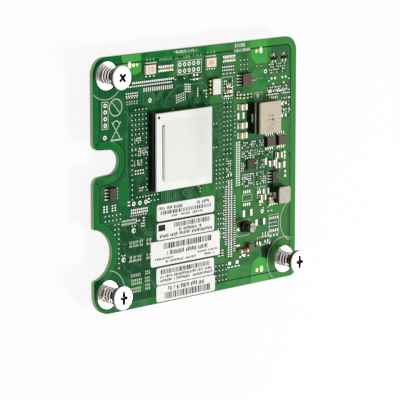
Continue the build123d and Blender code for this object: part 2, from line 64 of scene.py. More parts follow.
def table(text):
    """The rows of a table in text. They end at a comma or at the end of a line."""
    rows = [row.split() for row in text.replace(",", "\n").split("\n")]
    return [[read(word) for word in row] for row in rows if row]

def span(node):
    """The lowest and the highest corner of a CAD node."""
    low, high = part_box(node)
    return low / MM, high / MM

def middle(node):
    low, high = span(node)
    return (low + high) / 2

CARD_LOW, CARD_HIGH = span("circuit_board")
FACE, BACK = CARD_HIGH.z, CARD_LOW.z
HALF_LENGTH, HALF_WIDTH = CARD_HIGH.x, CARD_HIGH.y
SCREW_PLACES = {name: middle(f"screw_{name}") for name in CORNERS}

# Camera: it looks at the target from this side and height, as the photograph does
VIEW_SIDE = radians(44.59)
VIEW_RISE = radians(10.23)
VIEW_DISTANCE = 997.0
VIEW_TARGET = (0.91, -11.67)
FOCAL_PIXELS = 2464.0
IMAGE_PIXELS = 400.0
SENSOR_WIDTH = 36.0
CLIP_START = 0.05

# Light, with places and sizes in metres
AMBIENT = 0.3
FLOOR_GLOW = 0.9
FLOOR_SIZE = 12.0
LAMPS = (
    # name, place, size, power
    ("key", (0.72, -0.50, 1.0), 0.4, 12.0),
    ("fill", (-0.5, 0.5, 1.2), 1.2, 1.6),
)

# Shader nodes

def add_node(tree, kind, inputs=None, **settings):
    """A new shader node. Its inputs are sockets to join or values to set, by name or number."""
    node = tree.nodes.new(f"ShaderNode{kind}")
    for setting, value in settings.items():
        setattr(node, setting, value)
    for place, value in (inputs or {}).items():
        if isinstance(value, bpy.types.NodeSocket):
            tree.links.new(value, node.inputs[place])
        else:
            node.inputs[place].default_value = value
    return node

def calculate(tree, operation, *values):
    return add_node(tree, "Math", dict(enumerate(values)), operation=operation).outputs[0]

def calculate_vector(tree, operation, *values):
    node = add_node(tree, "VectorMath", dict(enumerate(values)), operation=operation)
    return node.outputs["Value" if operation == "LENGTH" else "Vector"]

def object_place(tree):
    return add_node(tree, "TexCoord").outputs["Object"]

def split(tree, vector):
    return add_node(tree, "SeparateXYZ", {"Vector": vector}).outputs

def blend_shades(tree, amount, shades, low=0.0, high=1.0):
    """Two shades that follow an amount, between a low and a high level of it."""
    ramp = add_node(tree, "ValToRGB", {"Fac": amount})
    for element, position, colour in zip(ramp.color_ramp.elements, (low, high), shades):
        element.position, element.color = position, colour
    return ramp.outputs["Color"]

def cover(tree, share, colour):
    """Shows a colour in place of the shader's present one, by a share."""
    base = tree.nodes["Principled BSDF"].inputs["Base Color"]
    layers = {"Factor": share, 6: base.links[0].from_socket, 7: colour}
    tree.links.new(add_node(tree, "Mix", layers, data_type="RGBA").outputs[2], base)

def shown(red, green, blue):
    """The linear colour that shows as these levels from 0 to 255."""
    levels = [level / 255 for level in (red, green, blue)]
    linear = [v / 12.92 if v <= 0.04045 else ((v + 0.055) / 1.055) ** 2.4 for v in levels]
    return (*linear, 1.0)

# Materials

MOTTLE_DETAIL = 4.0
MOTTLE_ENDS = (0.35, 0.65)
SMOOTHEST = 0.02
RELIEF_STRENGTH = 0.6
UPRIGHT = 0.5
ZONE_GRAIN = 1500.0
ZONE_SHADE = 0.8
paints = {}

def paint(name, *levels):
    """Two mottled shades, uneven gloss and fine relief. Grain is in cycles per metre.

    Light drift is how far the second shade takes over from the left of the card to its right, a
    painted change of light across the card."""
    shades = (shown(*levels[:3]), shown(*levels[3:6]))
    grain, roughness, wear, metallic, specular, relief, light_drift = (*levels[6:], 0, 0)[:7]
    material = bpy.data.materials.new(name)
    material.use_nodes = True
    tree = material.node_tree
    shader = tree.nodes["Principled BSDF"]
    shader.inputs["Metallic"].default_value = metallic
    shader.inputs["Specular IOR Level"].default_value = specular
    place = object_place(tree)
    noise = {"Vector": place, "Scale": grain, "Detail": MOTTLE_DETAIL}
    amount = mottle = add_node(tree, "TexNoise", noise).outputs["Fac"]
    # Painted light: the second shade takes over towards the card's right, for the change of light
    # across it
    if light_drift > 0:
        per_metre = light_drift / (2 * HALF_LENGTH * MM)
        amount = calculate(tree, "MULTIPLY_ADD", split(tree, place)["X"], per_metre, mottle)
    tree.links.new(blend_shades(tree, amount, shades, *MOTTLE_ENDS), shader.inputs["Base Color"])
    limits = {"To Min": max(roughness - wear, SMOOTHEST), "To Max": min(roughness + wear, 1.0)}
    gloss = add_node(tree, "MapRange", {"Value": mottle, **limits})
    tree.links.new(gloss.outputs["Result"], shader.inputs["Roughness"])
    if relief > 0:
        fine = add_node(tree, "TexNoise", {"Vector": place, "Scale": grain * 3}).outputs["Fac"]
        bumps = {"Distance": relief * MM, "Strength": RELIEF_STRENGTH, "Height": fine}
        bump = add_node(tree, "Bump", bumps)
        tree.links.new(bump.outputs["Normal"], shader.inputs["Normal"])
    paints[name] = material

def add_side_colour_and_shade(name, shade, other, grain):
    """Gives the upright sides of a material's pieces two shades: the laminate's own colour on the
    board's edges, and painted shade on the sides of the parts.
    """
    tree = paints[name].node_tree
    normal = add_node(tree, "NewGeometry").outputs["True Normal"]
    rise = calculate(tree, "ABSOLUTE", split(tree, normal)["Z"])
    side = calculate(tree, "LESS_THAN", rise, UPRIGHT)
    weave = add_node(tree, "TexNoise", {"Scale": grain}).outputs["Fac"]
    cover(tree, side, blend_shades(tree, weave, (shown(*shade), shown(*other))))

def cover_within(tree, reach, shade):
    """Shows a shade where reach is under one."""
    inside = calculate(tree, "LESS_THAN", reach, 1.0)
    noise = {"Vector": object_place(tree), "Scale": ZONE_GRAIN}
    tone = add_node(tree, "TexNoise", noise).outputs["Fac"]
    colour = shown(*shade)
    darker = (*(ZONE_SHADE * level for level in colour[:3]), 1.0)
    cover(tree, inside, blend_shades(tree, tone, (colour, darker)))

def measure_from(tree, x, y, z):
    """How far each point of a piece lies from a place."""
    return calculate_vector(tree, "SUBTRACT", object_place(tree), (x * MM, y * MM, z * MM))

def add_zone_colour(name, shade, centre, radius, low, high):
    """Gives what lies inside an upright cylinder another shade, which on the inductor base and the
    screws is painted shade.
    """
    tree = paints[name].node_tree
    offset = measure_from(tree, centre[0], centre[1], (low + high) / 2)
    scale = (1 / (radius * MM), 1 / (radius * MM), 2 / ((high - low) * MM))
    x, y, z = split(tree, calculate_vector(tree, "MULTIPLY", offset, scale))
    flat = add_node(tree, "CombineXYZ", {"X": x, "Y": y}).outputs["Vector"]
    reach = calculate_vector(tree, "LENGTH", flat)
    cover_within(tree, calculate(tree, "MAXIMUM", reach, calculate(tree, "ABSOLUTE", z)), shade)

def add_cross_colour(name, shade, centre, arms, half_width, low):
    """Gives a cross on top of a piece another shade, here painted shade in a screw's cross recess.
    Arms are the reach of its two bars.
    """
    tree = paints[name].node_tree
    offset = measure_from(tree, centre[0], centre[1], low)
    size = calculate_vector(tree, "ABSOLUTE", offset)
    bars = []
    for reach_x, reach_y in ((arms[0], half_width), (half_width, arms[1])):
        scale = (1 / (reach_x * MM), 1 / (reach_y * MM), 1.0)
        x, y, _ = split(tree, calculate_vector(tree, "MULTIPLY", size, scale))
        bars.append(calculate(tree, "MAXIMUM", x, y))
    below = calculate(tree, "LESS_THAN", split(tree, offset)["Z"], 0.0)
    nearer = calculate(tree, "MINIMUM", *bars)
    cover_within(tree, calculate(tree, "MAXIMUM", nearer, below), shade)

# Name, two shades, grain, roughness, wear, metallic, specular, then relief and light drift if any.
# Light drift paints a change of light from the card's left to its right, on the mask paints and
# the lid.
# The winding paint is near black: partly the winding, partly painted shade in the gap under the
# inductor's top plate.
PAINTS = """
mask 10 100 48 70 132 66 140 .4 .1 0 .03 .01 .5
mask_rim 0 118 46 66 146 68 160 .32 .1 0 .03 0 .6
mask_dark 8 78 38 60 114 68 260 .32 .1 0 .02 0 .5
mask_line 4 42 18 16 58 28 300 .35 .1 0 .05
mask_trace 64 132 80 104 164 112 500 .35 .1 0 .05 0 .3
mask_clear 62 168 76 84 178 66 120 .35 .1 0 .06
tin 240 242 232 214 217 205 1500 .34 .1 .45 .5 .02
tin_flat 238 242 230 250 251 245 900 .45 .1 .1 .3
tin_dull 172 190 166 200 210 190 900 .5 .1 .1 .2
gold 240 230 140 220 204 110 900 .35 .1 .4 .5
print 238 244 232 216 228 210 1500 .6 .1 0 .2
print_faint 136 186 140 112 168 118 1500 .6 .1 0 .2
hole 14 34 20 26 46 28 900 .6 .1 0 .05
steel 236 232 229 222 217 214 300 .3 .05 .8 .5 .002
wire 250 244 238 222 214 207 1200 .24 .1 .92 .2 .002
black_resin 12 12 12 20 19 18 2500 .55 .1 0 .1 .02
dark_resin 90 80 62 70 61 48 2200 .5 .1 0 .25 .02
lid 254 255 248 240 240 236 60 .5 .1 0 .3 .003 1.6
laminate 56 58 54 74 76 70 1500 .5 .1 0 .2
ferrite 98 84 60 124 112 84 1500 .6 .1 0 .2 .03
winding 18 16 14 30 27 24 1500 .6 .1 0 .1
ferrite_plate 212 202 178 200 189 164 1300 .5 .1 0 .3 .03
ferrite_pale 208 202 186 184 176 160 1300 .5 .1 0 .3 .03
can 176 168 152 74 66 60 700 .45 .1 .3 .5 .006
ceramic_white 250 246 230 238 230 206 1200 .5 .1 0 .3
ceramic_dark 40 36 20 62 54 28 1200 .5 .1 0 .2
amber 252 226 178 226 158 84 900 .3 .1 0 .5
ceramic_brown 222 196 146 192 152 100 1500 .45 .1 0 .3 .02
glaze 40 30 26 60 44 38 1800 .4 .1 0 .2
green_resin 62 60 40 46 46 30 2200 .5 .1 0 .2 .02
oscillator_lid 246 252 236 236 242 222 500 .4 .1 0 .3
red_glass 196 84 48 140 52 32 1200 .2 .1 0 .5
lid_panel 246 247 240 236 236 231 60 .5 .1 0 .3 0 1.6
mask_patch 40 126 44 52 140 54 300 .35 .1 0 .03
can_side 16 15 15 30 28 27 1500 .3 .1 0 .5
reddish_mark 116 70 66 92 58 52 1200 .5 .1 0 .2
groove_shade 240 240 230 226 226 215 900 .6 .1 0 .1
choke_brown 112 70 56 84 52 42 1400 .45 .1 0 .3
tiny_body 126 140 112 98 112 86 1400 .5 .1 0 .2
row_body 176 150 130 146 122 104 1400 .45 .1 0 .3
ferrite_clip 240 240 226 214 214 198 900 .4 .1 0 .3
shank 18 16 15 30 27 25 900 .6 .1 0 .1
paper 255 253 250 250 248 244 700 .5 .1 0 .3 .002
ink 46 44 43 62 60 58 2500 .6 .1 0 .1
ink_dark 20 20 20 32 32 31 2500 .6 .1 0 .1
floor_paint 255 255 255 253.88 253.88 253.88 3 .8 .1 0 0
"""
# Paint, two shades, grain. The mask row is the laminate's own edge colour; the other rows are
# painted shade on the upright sides of parts.
SIDE_COLOURS_AND_SHADE = """
mask 160 192 136 190 210 168 2500
dark_resin 20 17 14 36 31 25 1800
ferrite_pale 22 20 17 44 40 33 1400
green_resin 16 15 12 30 28 22 1800
ferrite_clip 40 48 38 62 70 56 1400
"""
# Paint, shade, x, y, radius, low, high. The ferrite row is painted shade on the lower left side of
# the large inductor's base.
ZONE_COLOURS = """
ferrite 16 24 14 -69.2 18.9 100.6 8 9.5
ceramic_brown 132 104 66 46 -1 8 8 9.8
ceramic_brown 40 30 22 16.4 -3.2 1.6 8 9.8
"""
# Each paint with the CAD nodes that it covers
COATS = """
mask circuit_board
steel ferrules
black_resin connector_housing chip_frame electrolytic_base small_transistor_bodies
gold connector_contacts
tin chip_solder_layer small_inductor_terminals driver_leads memory_leads power_transistor_leads
tin small_transistor_leads regulator_pads diode_caps large_capacitor_ends small_capacitor_ends
tin small_resistor_ends array_fingers underside_capacitor_ends
laminate chip_substrate
lid chip_lid
ferrite large_inductor_base
winding large_inductor_winding
ferrite_plate large_inductor_plate
ferrite_clip large_inductor_terminals
ferrite_pale small_inductor_body
can_side electrolytic_can
ceramic_dark oscillator_base
oscillator_lid oscillator_lid
ceramic_white lamp_bodies
amber lamp_windows
green_resin driver_bodies regulator_body
dark_resin memory_bodies power_transistor_bodies
red_glass diode_body
choke_brown choke_body
ceramic_brown large_capacitor_bodies small_capacitor_bodies underside_capacitor_bodies
glaze small_resistor_bodies
tiny_body tiny_capacitor_bodies
tin_dull tiny_capacitor_ends
row_body array_bodies
paper label_top label_second label_wide label_fourth label_bottom
screw_steel_top_left screw_top_left
screw_steel_bottom_left screw_bottom_left
screw_steel_bottom_right screw_bottom_right
"""
for row in table(PAINTS):
    paint(*row)
for name, *levels in table(SIDE_COLOURS_AND_SHADE):
    add_side_colour_and_shade(name, levels[:3], levels[3:6], levels[6])
for name, *levels in table(ZONE_COLOURS):
    add_zone_colour(name, levels[:3], levels[3:5], *levels[5:])

# Screws: painted shade on the head's side, in its cross recess, along the neck and over the coils
SCREW_STEEL = (238, 234, 233, 222, 217, 215, 500, 0.3, 0.05, 0.75, 0.5, 0.006)
HEAD_EDGE, HEAD_REACH, HEAD_THICKNESS = 0.5, 6.0, 1.7
RECESS_ARMS = (1.6, 2.75)
RECESS_HALF_WIDTH, RECESS_REACH, RECESS_DEPTH = 0.78, 3.0, 1.3
NECK_REACH = 2.0
SKIN = 0.06
COIL_MIDDLE, COIL_SHADE, COIL_MARGIN = 3.1, 1.9, 1.0

def paint_screw_shade(corner):
    """Paints shade down in the recess, on the head's side and inside the spring, and painted shade
    on the coil that darkens upwards.
    """
    steel = f"screw_steel_{corner}"
    paint(steel, *SCREW_STEEL)
    centre = SCREW_PLACES[corner]
    face = span(f"screw_{corner}")[1].z
    coil_low, coil_high = (level.z for level in span(f"spring_{corner}"))
    for shade, radius, low, high in (
        ((74, 68, 65), HEAD_REACH, face - HEAD_THICKNESS - SKIN, face - HEAD_EDGE),
        ((52, 46, 44), RECESS_REACH, face - RECESS_DEPTH, face - SKIN),
        ((26, 22, 20), NECK_REACH, coil_low, coil_high),
    ):
        add_zone_colour(steel, shade, centre, radius, low, high)
    if corner != "top_left":
        add_cross_colour(steel, (5, 4, 4), centre, RECESS_ARMS, RECESS_HALF_WIDTH, face - SKIN)
    # Painted shade on the coil: darker towards the head and on its inner side
    coil_top = coil_high + COIL_MARGIN
    add_zone_colour("wire", (92, 82, 74), centre, HEAD_REACH, coil_high - COIL_SHADE, coil_top)
    add_zone_colour("wire", (12, 10, 9), centre, COIL_MIDDLE, coil_low - COIL_MARGIN, coil_top)

for corner in CORNERS:
    paint_screw_shade(corner)
for name, *nodes in table(COATS):
    for node in nodes:
        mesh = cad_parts[node].data
        mesh.materials.clear()
        mesh.materials.append(paints[name])

# Pieces in mesh code

def finish_piece(name, mesh, material, body="card", smooth=False):
    """Turns a bmesh in millimetres into a piece that rides on a body."""
    bmesh.ops.scale(mesh, vec=(MM, MM, MM), verts=mesh.verts)
    bmesh.ops.recalc_face_normals(mesh, faces=mesh.faces)
    for face in mesh.faces:
        face.smooth = smooth
    data = bpy.data.meshes.new(name)
    mesh.to_mesh(data)
    mesh.free()
    data.materials.append(paints[material])
    piece = bpy.data.objects.new(name, data)
    bpy.context.scene.collection.objects.link(piece)
    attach(piece, body)
    return piece

def add_prism(mesh, outline, low, high):
    """A closed plate between two levels, from the points of its outline."""
    bottom = [mesh.verts.new((x, y, low)) for x, y in outline]
    top = [mesh.verts.new((x, y, high)) for x, y in outline]
    mesh.faces.new(bottom[::-1])
    mesh.faces.new(top)
    for i, lower in enumerate(bottom):
        j = (i + 1) % len(bottom)
        mesh.faces.new((lower, bottom[j], top[j], top[i]))

def arc_points(x, y, radius, start, sweep, steps):
    """Points on an arc, with its start and sweep in degrees."""
    angles = [radians(start + sweep * i / steps) for i in range(steps + 1)]
    return [(x + radius * cos(angle), y + radius * sin(angle)) for angle in angles]

def circle_points(x, y, radius, sides):
    return arc_points(x, y, radius, 0, 360 * (sides - 1) / sides, sides - 1)

def rounded(corners, steps=8):
    """The points of a closed outline whose corners are (x, y, radius)."""
    points = []
    for i, (x, y, radius) in enumerate(corners):
        before, after = corners[i - 1], corners[(i + 1) % len(corners)]
        if radius <= 0:
            points.append((x, y))
            continue
        here = Vector((x, y))
        to_before = (Vector(before[:2]) - here).normalized()
        to_after = (Vector(after[:2]) - here).normalized()
        half = to_before.angle(to_after) / 2
        centre = here + (to_before + to_after).normalized() * (radius / sin(half))
        first = here + to_before * (radius / tan(half)) - centre
        last = here + to_after * (radius / tan(half)) - centre
        start = degrees(atan2(first.y, first.x))
        sweep = (degrees(atan2(last.y, last.x)) - start + 180) % 360 - 180
        points += arc_points(centre.x, centre.y, radius, start, sweep, steps)
    return points

# Flat pieces: name, material, thickness, and the CAD node that it lies on, if it lies on one.
# The rows after that are the shapes it starts with, each a method of Layer and its numbers.
# The black plates under the leads of the leaded chips are painted shadow.
PIECES = """
board_rim_band mask_rim .008, board_rim_line mask_line .012, board_stitching mask_trace .016
board_via_margins mask_line .015, board_vias tin_flat .03, board_pads tin_flat .045
header_rings tin_flat .04, header_holes hole .05, label_bars ink .006 label_top
small_part_bodies glaze .42, row_part_bodies row_body .42, small_part_ends tin .45
crowded_ground mask_dark .012, crowded_margins mask_line .02, crowded_pale tin_flat .16
crowded_dull tin_dull .12, crowded_dark glaze .2, chip_left_fillet black_resin .3
lid_panel lid_panel .004 chip_lid, lid_groove groove_shade .02, lid_groove_shade green_resin .01
lid_dimple ink_dark .006 chip_lid, can_top can .02 electrolytic_can, can_mark ink_dark .02
inductor_edge tin_flat .35, inductor_clip paper .12, oscillator_pads gold .9
oscillator_gaps ink_dark 1.0, transistor_pads tin_flat .1, back_rim_band mask_rim .008
back_rim_line mask_line .012, back_vias tin_flat .03, back_rings tin_flat .04, back_holes hole .05
board_dark_areas mask_dark .006
area -38.5 -10 -26 30.5, outline -24 40 -24 26.5 6.5 26.5 6.5 37 3 40, area 5.2 -5.4 20 27
area -23.5 -10.6 1.8 -4.7, outline -43 -14 -43 -36 -24 -44 -24 -14, area -36 -48 -23.5 -44.5
area 10 -24 16 -9, area 9.6 -47.5 16.5 -39.5, area 52.4 -34 54.4 -21, area 26.9 -22.1 30.1 -19.1
outline 42 43 42 48.6 51 48.6 54.2 45.4 54.2 0 52.4 0 52.4 43, area 34.4 -26.8 37.8 -24
board_light_areas mask_rim .009
outline -43.5 0 -43.5 -8.6 -38.2 -8.6 -38.2 2, area 17 -47.6 29.5 -42.5, area 31.5 29.8 39.8 38.5
area 20.6 -20 24.6 -10.4, area 48.5 11.5 52 16, outline 40 -18.9 40 -22.6 49 -22.6 50 -18.9
board_clear_areas mask_clear .01
outline -42 50.6 -41 47 -38 43.4 -35 42.4 -31.5 43.6 -31.5 50.6, arch 36 -45.4 5.2 -50.6 18
outline 30 50.6 30 43.8 33 41 39.8 41 39.8 50.6
board_bright_patches mask_patch .01
area 2.2 -9.8 6.4 -5.4, area 6.3 27.4 10.5 29.3, area 19.8 -32.4 23.4 -30.2
board_shaded_areas mask_line .011
area -23.6 -50.5 9.2 -10.6, area 27.9 12.2 30.9 25.6, area 32.8 -35.6 36.6 -33
outline 36.4 -36.2 37.2 -40.6 40.4 -41.2 43 -38.4 43.4 -35.2 41 -34, area 40.4 -18.4 43.8 -9.6
area 43.6 -4.2 44.6 3.4, area 45.4 -4.2 46.6 3.4
board_green_patch mask_dark .012
area -35 -.2 -30.2 2.5
board_traces mask_trace .014
runs 10 1.06 0 .28 -20.4 -5 -20.4 -10.4, runs 5 1.5 0 .3 -9.4 -6.2 -8.2 -8 -6.2 -10.4
runs 17 0 -1.88 .12 8.2 26 13.6 26.1, runs 17 0 -1.88 .12 8.2 25.06 13.6 25.56
line .28 -18.5 29.8 -17.6 31.8 -15 34 -11.8 36 2.6 36 5.2 33.6, runs 2 1.4 0 .28 -24 31.2 -20.6 35
runs 6 1.1 0 .2 -33.5 37.2 -30.4 34 -30.4 30, runs 7 1.3 0 .2 -23 28.8 -22 27
runs 11 0 -1.917 .14 -38.2 27.6 -29.8 27.6, runs 5 .9 -1.2 .2 -40.5 29 -37.4 25.6
line .25 -39.4 21 -39.4 3.2 -40.6 1.6 -41.8 1.2, runs 3 1.1 0 .22 -34.4 -16.6 -27.8 -23
line .22 -43 -22 -42.4 -23.8 -40.4 -24.6 -38.6 -24.2
line .22 -36.4 -20.6 -35.2 -22.4 -32 -22.8 -30 -24, line .22 -41.5 -32 -40.4 -34.6 -37.5 -35.8
line .22 -51 -14.9 -41 -14.9, line .2 -27 -40.4 -24.2 -43, line .2 -26.1 -41.5 -23.8 -43.8
line .2 -25.2 -42.6 -23.4 -44.6, line .2 -24.3 -43.7 -23 -45.4
runs 8 0 -.8 .18 9.8 -19.6 12.4 -21.8 15.6 -23.4, line .18 11 -10.2 11 -16 12.6 -18
line .18 11.9 -10.2 11.9 -16 13.4 -18, line .18 12.8 -10.2 12.8 -16 14.2 -18
line .18 13.7 -10.2 13.7 -16 15 -18, runs 3 .7 0 .16 52.7 22 52.7 2
tilted_pads tin_flat .045
blocks -7.4 33.4 .9 .95 4 4 .46 .62 30 -.1, blocks -12.3 29.3 .98 .92 6 4 .42 .5 30 .2
board_gold_marks gold .03
disc -35.5 46.4 .75 14, disc 33.4 46.2 .75 14, disc 34.2 -45.5 .75 14
board_pale_marks tin_flat .03
disc -33.6 46.4 .6 12, oval -37.6 46.6 .95 1.35 16, oval 36 46.4 .95 1.35 16
oval 36.9 -45.4 .95 1.35 16
board_print print .02
ring 57.3 -27 9.3 9.05 118 128, ring -45.1 30.7 3.5 3.15, ring -44.9 23.8 1.8 1.45 10 160 10
line .22 -4.8 37.9 1.9 37.9, line .3 -47.2 33 -43 28.4, line .32 -47.2 25 -42.6 18
line .32 -42.4 25 -47.6 18, line .5 -48 17.9 -41.8 17.9, frame -4.9 43.05 13.2 5.3 .25
frame -50.8 28 3.2 10.6 .25, frame 28.2 -14.2 5.6 2.6 .2, frame 44.2 -27.4 5.6 8.2 .2
frame 38 -33.6 7.6 3.4 .2, frame 25.7 -26.6 7.2 6.4 .2, frame 36.6 -12.9 4.6 4.4 .2
frame 16.4 33 6 8 .2, frame 34.6 27.6 4.4 2.8 .2, block -26.2 46.5 6 .45, block 7 46.4 5.8 .5
board_print_faint print_faint .02
blocks -28.3 47.9 1.8 0 3 1 .7 1, blocks 5.3 47.9 1.8 0 3 1 .7 1
label_words ink_dark .006 label_top
block -20.6 -20.3 3.8 2.5
faint_part_bars tin_dull .05
blocks -42.2 -16.2 .68 0 12 1 .4 .9 10, blocks -42 -14.9 .68 0 12 1 .4 .9 10
faint_part_spots print .04
disc -35.9 -19.3 1.1 14, disc -41.4 -30.3 1.1 14
faint_part_cores hole .05
disc -35.45 -19.4 .42, disc -40.95 -30.4 .42
chip_grounds black_resin .012
block -47.95 -3.2 6.2 5.31, block 43.65 -7.2 6.2 5.31, block 26.24 35.1 8.1 5.31
block 41.1 7.9 5.41 4.5, block 47.9 7.9 5.41 4.5
lead_solder tin_flat .06
blocks -50.5 -5.105 5.6 1.27 2 4 1.3 .54, blocks 41.1 -9.105 5.6 1.27 2 4 1.3 .54
blocks 22.74 33.195 7.5 1.27 2 4 1.3 .54, blocks 39.195 5 1.27 5.8 4 2 .54 1.2 16
blocks 45.995 5 1.27 5.8 4 2 .54 1.2 16
inductor_marks ferrite .01 large_inductor_plate
block 36.2 19.8 1.3 .4, block 37.9 19.7 1.3 .4, block 36 18 2.2 .3, block 38.2 18 1.1 1
block 37.4 15.4 6 .16 52, block 38.6 15 5.4 .16 52, block 36 15.2 5 .16 52
brown_part_bodies ceramic_brown 1.0
block 41.8 -17.2 2.6 2.4
pink_part_bodies row_body .7
block 37.1 -15 1.6 2.4
side_part_ends tin .9
blocks 41 -15.8 1.4 -2.9 2 2 .8 .5, blocks 35.9 -15 2.4 0 2 1 .5 2.3
right_part_ends tin_flat .6
block 45 -.3 .9 6.8, block 38.75 -.2 .9 2.9, block 50 2.6 .8 1, block 50 .7 .7 2
block 50 -2.6 .8 2.7, block 47.4 -3 .7 1.9, disc 50.3 -5.6 .55, disc 50.3 -7.5 .6
red_part_bodies red_glass .6
block 34.5 -34.4 1.3 1.3, block 40.4 -34.6 .8 .9
red_part_ends tin_flat .65
block 33.5 -33.9 .6 1.2, block 35.6 -34.6 .6 1.2, block 39.6 -34.2 .6 1.2, block 41.2 -34.8 .6 1.2
lamp_glints paper .03 lamp_windows
blocks -28.35 44.5 34.4 0 2 1 .4 .45 20, blocks -27.5 43.85 34.4 0 2 1 .4 .45 20
blocks -26.8 44.55 34.4 0 2 1 .4 .45 20, blocks -27.8 43.2 34.4 0 2 1 .4 .45 20
memory_bodies_mark reddish_mark .01 memory_bodies
block 27.6 35.6 2 3
driver_bodies_mark reddish_mark .01 driver_bodies
block 44.6 -6.6 1.4 2.2
strip_base mask_line .02
block 18.2 -21.8 2.6 33
strip_marks tin_flat .05
blocks 17.4 -5.8 1.55 -.93 2 35 .95 .5 28, blocks 22 9.4 1.45 -.93 2 20 .95 .5 28
back_pads tin_flat .045
blocks -40.2 -9.6 18.2 1.27 2 32 1.4 .7, blocks 12 12 2.6 -2 4 9 1.2 .6
blocks 30 30 3 -2.4 5 4 1.3 .8, blocks -18 -20 2.2 -2 8 3 1.1 .6, blocks 24 -16 2.4 -2.2 8 4 1.1 .7
blocks -20 36 2.2 -2 9 3 1.1 .6, blocks 10 -38 2.4 -2 6 3 1.1 .6
back_dark_areas mask_dark .006
block 36 26.4 16 10, block 33 -19.3 21 9.4, block -31.1 10.06 16 44.5, block 16 4 11.4 18
back_print print .02
frame 36 26.4 17 11 .25, frame 33 -19.3 22 10.4 .25, frame -31.1 10.06 17 45.5 .25
frame 16 4 12.4 19 .25
back_traces mask_trace .014
runs 12 0 3 .22 -22 -6 -20.4 -5.2 -16 -5.2, runs 9 1.2 0 .24 2 -8 8 -15 8 -34 4 -38
runs 8 0 -1.1 .2 0 43 20 43 26 37 44 37
"""
AROUND = ((-1, -1), (1, -1), (1, 1), (-1, 1))
SHARPEST = 0.4

class Layer:
    """Low flat shapes of one material, joined in one piece.

    They start at the level low. Without it they lie on their CAD node, or else on the component
    side, or on the underside when the name begins with back."""

    def __init__(self, name, low=None):
        self.name = name
        (self.material, height, *node), shapes = pieces[name]
        if low is None:
            low = BACK - height if name.startswith("back") else FACE
            if node:
                low = span(node[0])[1].z
        self.low, self.high = low, low + height
        self.mesh = bmesh.new()
        for shape, numbers in shapes:
            getattr(self, shape)(*numbers)

    def plate(self, outline):
        add_prism(self.mesh, outline, self.low, self.high)

    def outline(self, *numbers):
        self.plate(list(zip(numbers[::2], numbers[1::2])))

    def line(self, width, *numbers):
        self.strip(list(zip(numbers[::2], numbers[1::2])), width)

    def runs(self, count, step_x, step_y, width, *numbers):
        """Lines side by side, each a step on from the one before."""
        for i in range(count):
            points = zip(numbers[::2], numbers[1::2])
            self.strip([(x + step_x * i, y + step_y * i) for x, y in points], width)

    def arch(self, x, y, radius, bottom, steps):
        foot = [(x - radius, bottom), (x + radius, bottom)]
        self.plate(arc_points(x, y, radius, 0, 180, steps) + foot)

    def oval(self, x, y, reach, rise, sides):
        circle = circle_points(0, 0, 1, sides)
        self.plate([(x + reach * across, y + rise * up) for across, up in circle])

    def area(self, left, bottom, right, top):
        self.plate([(left, bottom), (right, bottom), (right, top), (left, top)])

    def block(self, x, y, length, width, turn=0.0):
        turned = radians(turn)
        across = Vector((cos(turned), sin(turned))) * (length / 2)
        up = Vector((-sin(turned), cos(turned))) * (width / 2)
        centre = Vector((x, y))
        self.plate([tuple(centre + across * a + up * b) for a, b in AROUND])

    def disc(self, x, y, radius, sides=10):
        self.plate(circle_points(x, y, radius, sides))

    def ring(self, x, y, outer, inner, start=0.0, sweep=360.0, steps=24):
        self.strip(arc_points(x, y, (outer + inner) / 2, start, sweep, steps), outer - inner)

    def strip(self, points, width, closed=False):
        """A line of one width along some points, mitred at each of them."""
        count = len(points)
        left, right = [], []
        for i, (x, y) in enumerate(points):
            before = points[i - 1] if closed or i > 0 else None
            after = points[(i + 1) % count] if closed or i < count - 1 else None
            here = Vector((x, y))
            into = (here - Vector(before) if before else Vector(after) - here).normalized()
            out = (Vector(after) - here).normalized() if after else into
            along = (into + out).normalized()
            side = Vector((-along.y, along.x)) * (width / 2 / max(along.dot(into), SHARPEST))
            left.append(tuple(here + side))
            right.append(tuple(here - side))
        if closed:
            left.append(left[0])
            right.append(right[0])
        for i in range(len(left) - 1):
            self.plate((right[i], right[i + 1], left[i + 1], left[i]))

    def discs(self, x, y, step_x, step_y, columns, rows, radius, sides=8):
        for row in range(rows):
            for column in range(columns):
                self.disc(x + step_x * column, y + step_y * row, radius, sides)

    def blocks(self, x, y, step_x, step_y, columns, rows, length, width, turn=0.0, rise=0.0):
        """Blocks in rows and columns. Rise is how far each column stands above the one before."""
        for row in range(rows):
            for column in range(columns):
                up = step_y * row + rise * column
                self.block(x + step_x * column, y + up, length, width, turn)

    def frame(self, x, y, length, width, line):
        """An open rectangle of one line width, about a centre."""
        half_x, half_y = length / 2, width / 2
        self.strip([(x + a * half_x, y + b * half_y) for a, b in AROUND], line, closed=True)

    def finish(self):
        return finish_piece(self.name, self.mesh, self.material)

pieces = {}
for word, *rest in table(PIECES):
    if hasattr(Layer, word):
        pieces[name][1].append((word, rest))
    else:
        name = word
        pieces[name] = (rest, [])

def finish_all(*layers):
    for layer in layers:
        layer.finish()

# Captive springs: round wire
SPRING_TURNS = 4.3
WIRE_RADIUS = 0.34
WIRE_SIDES = 10
STEPS_PER_TURN = 28

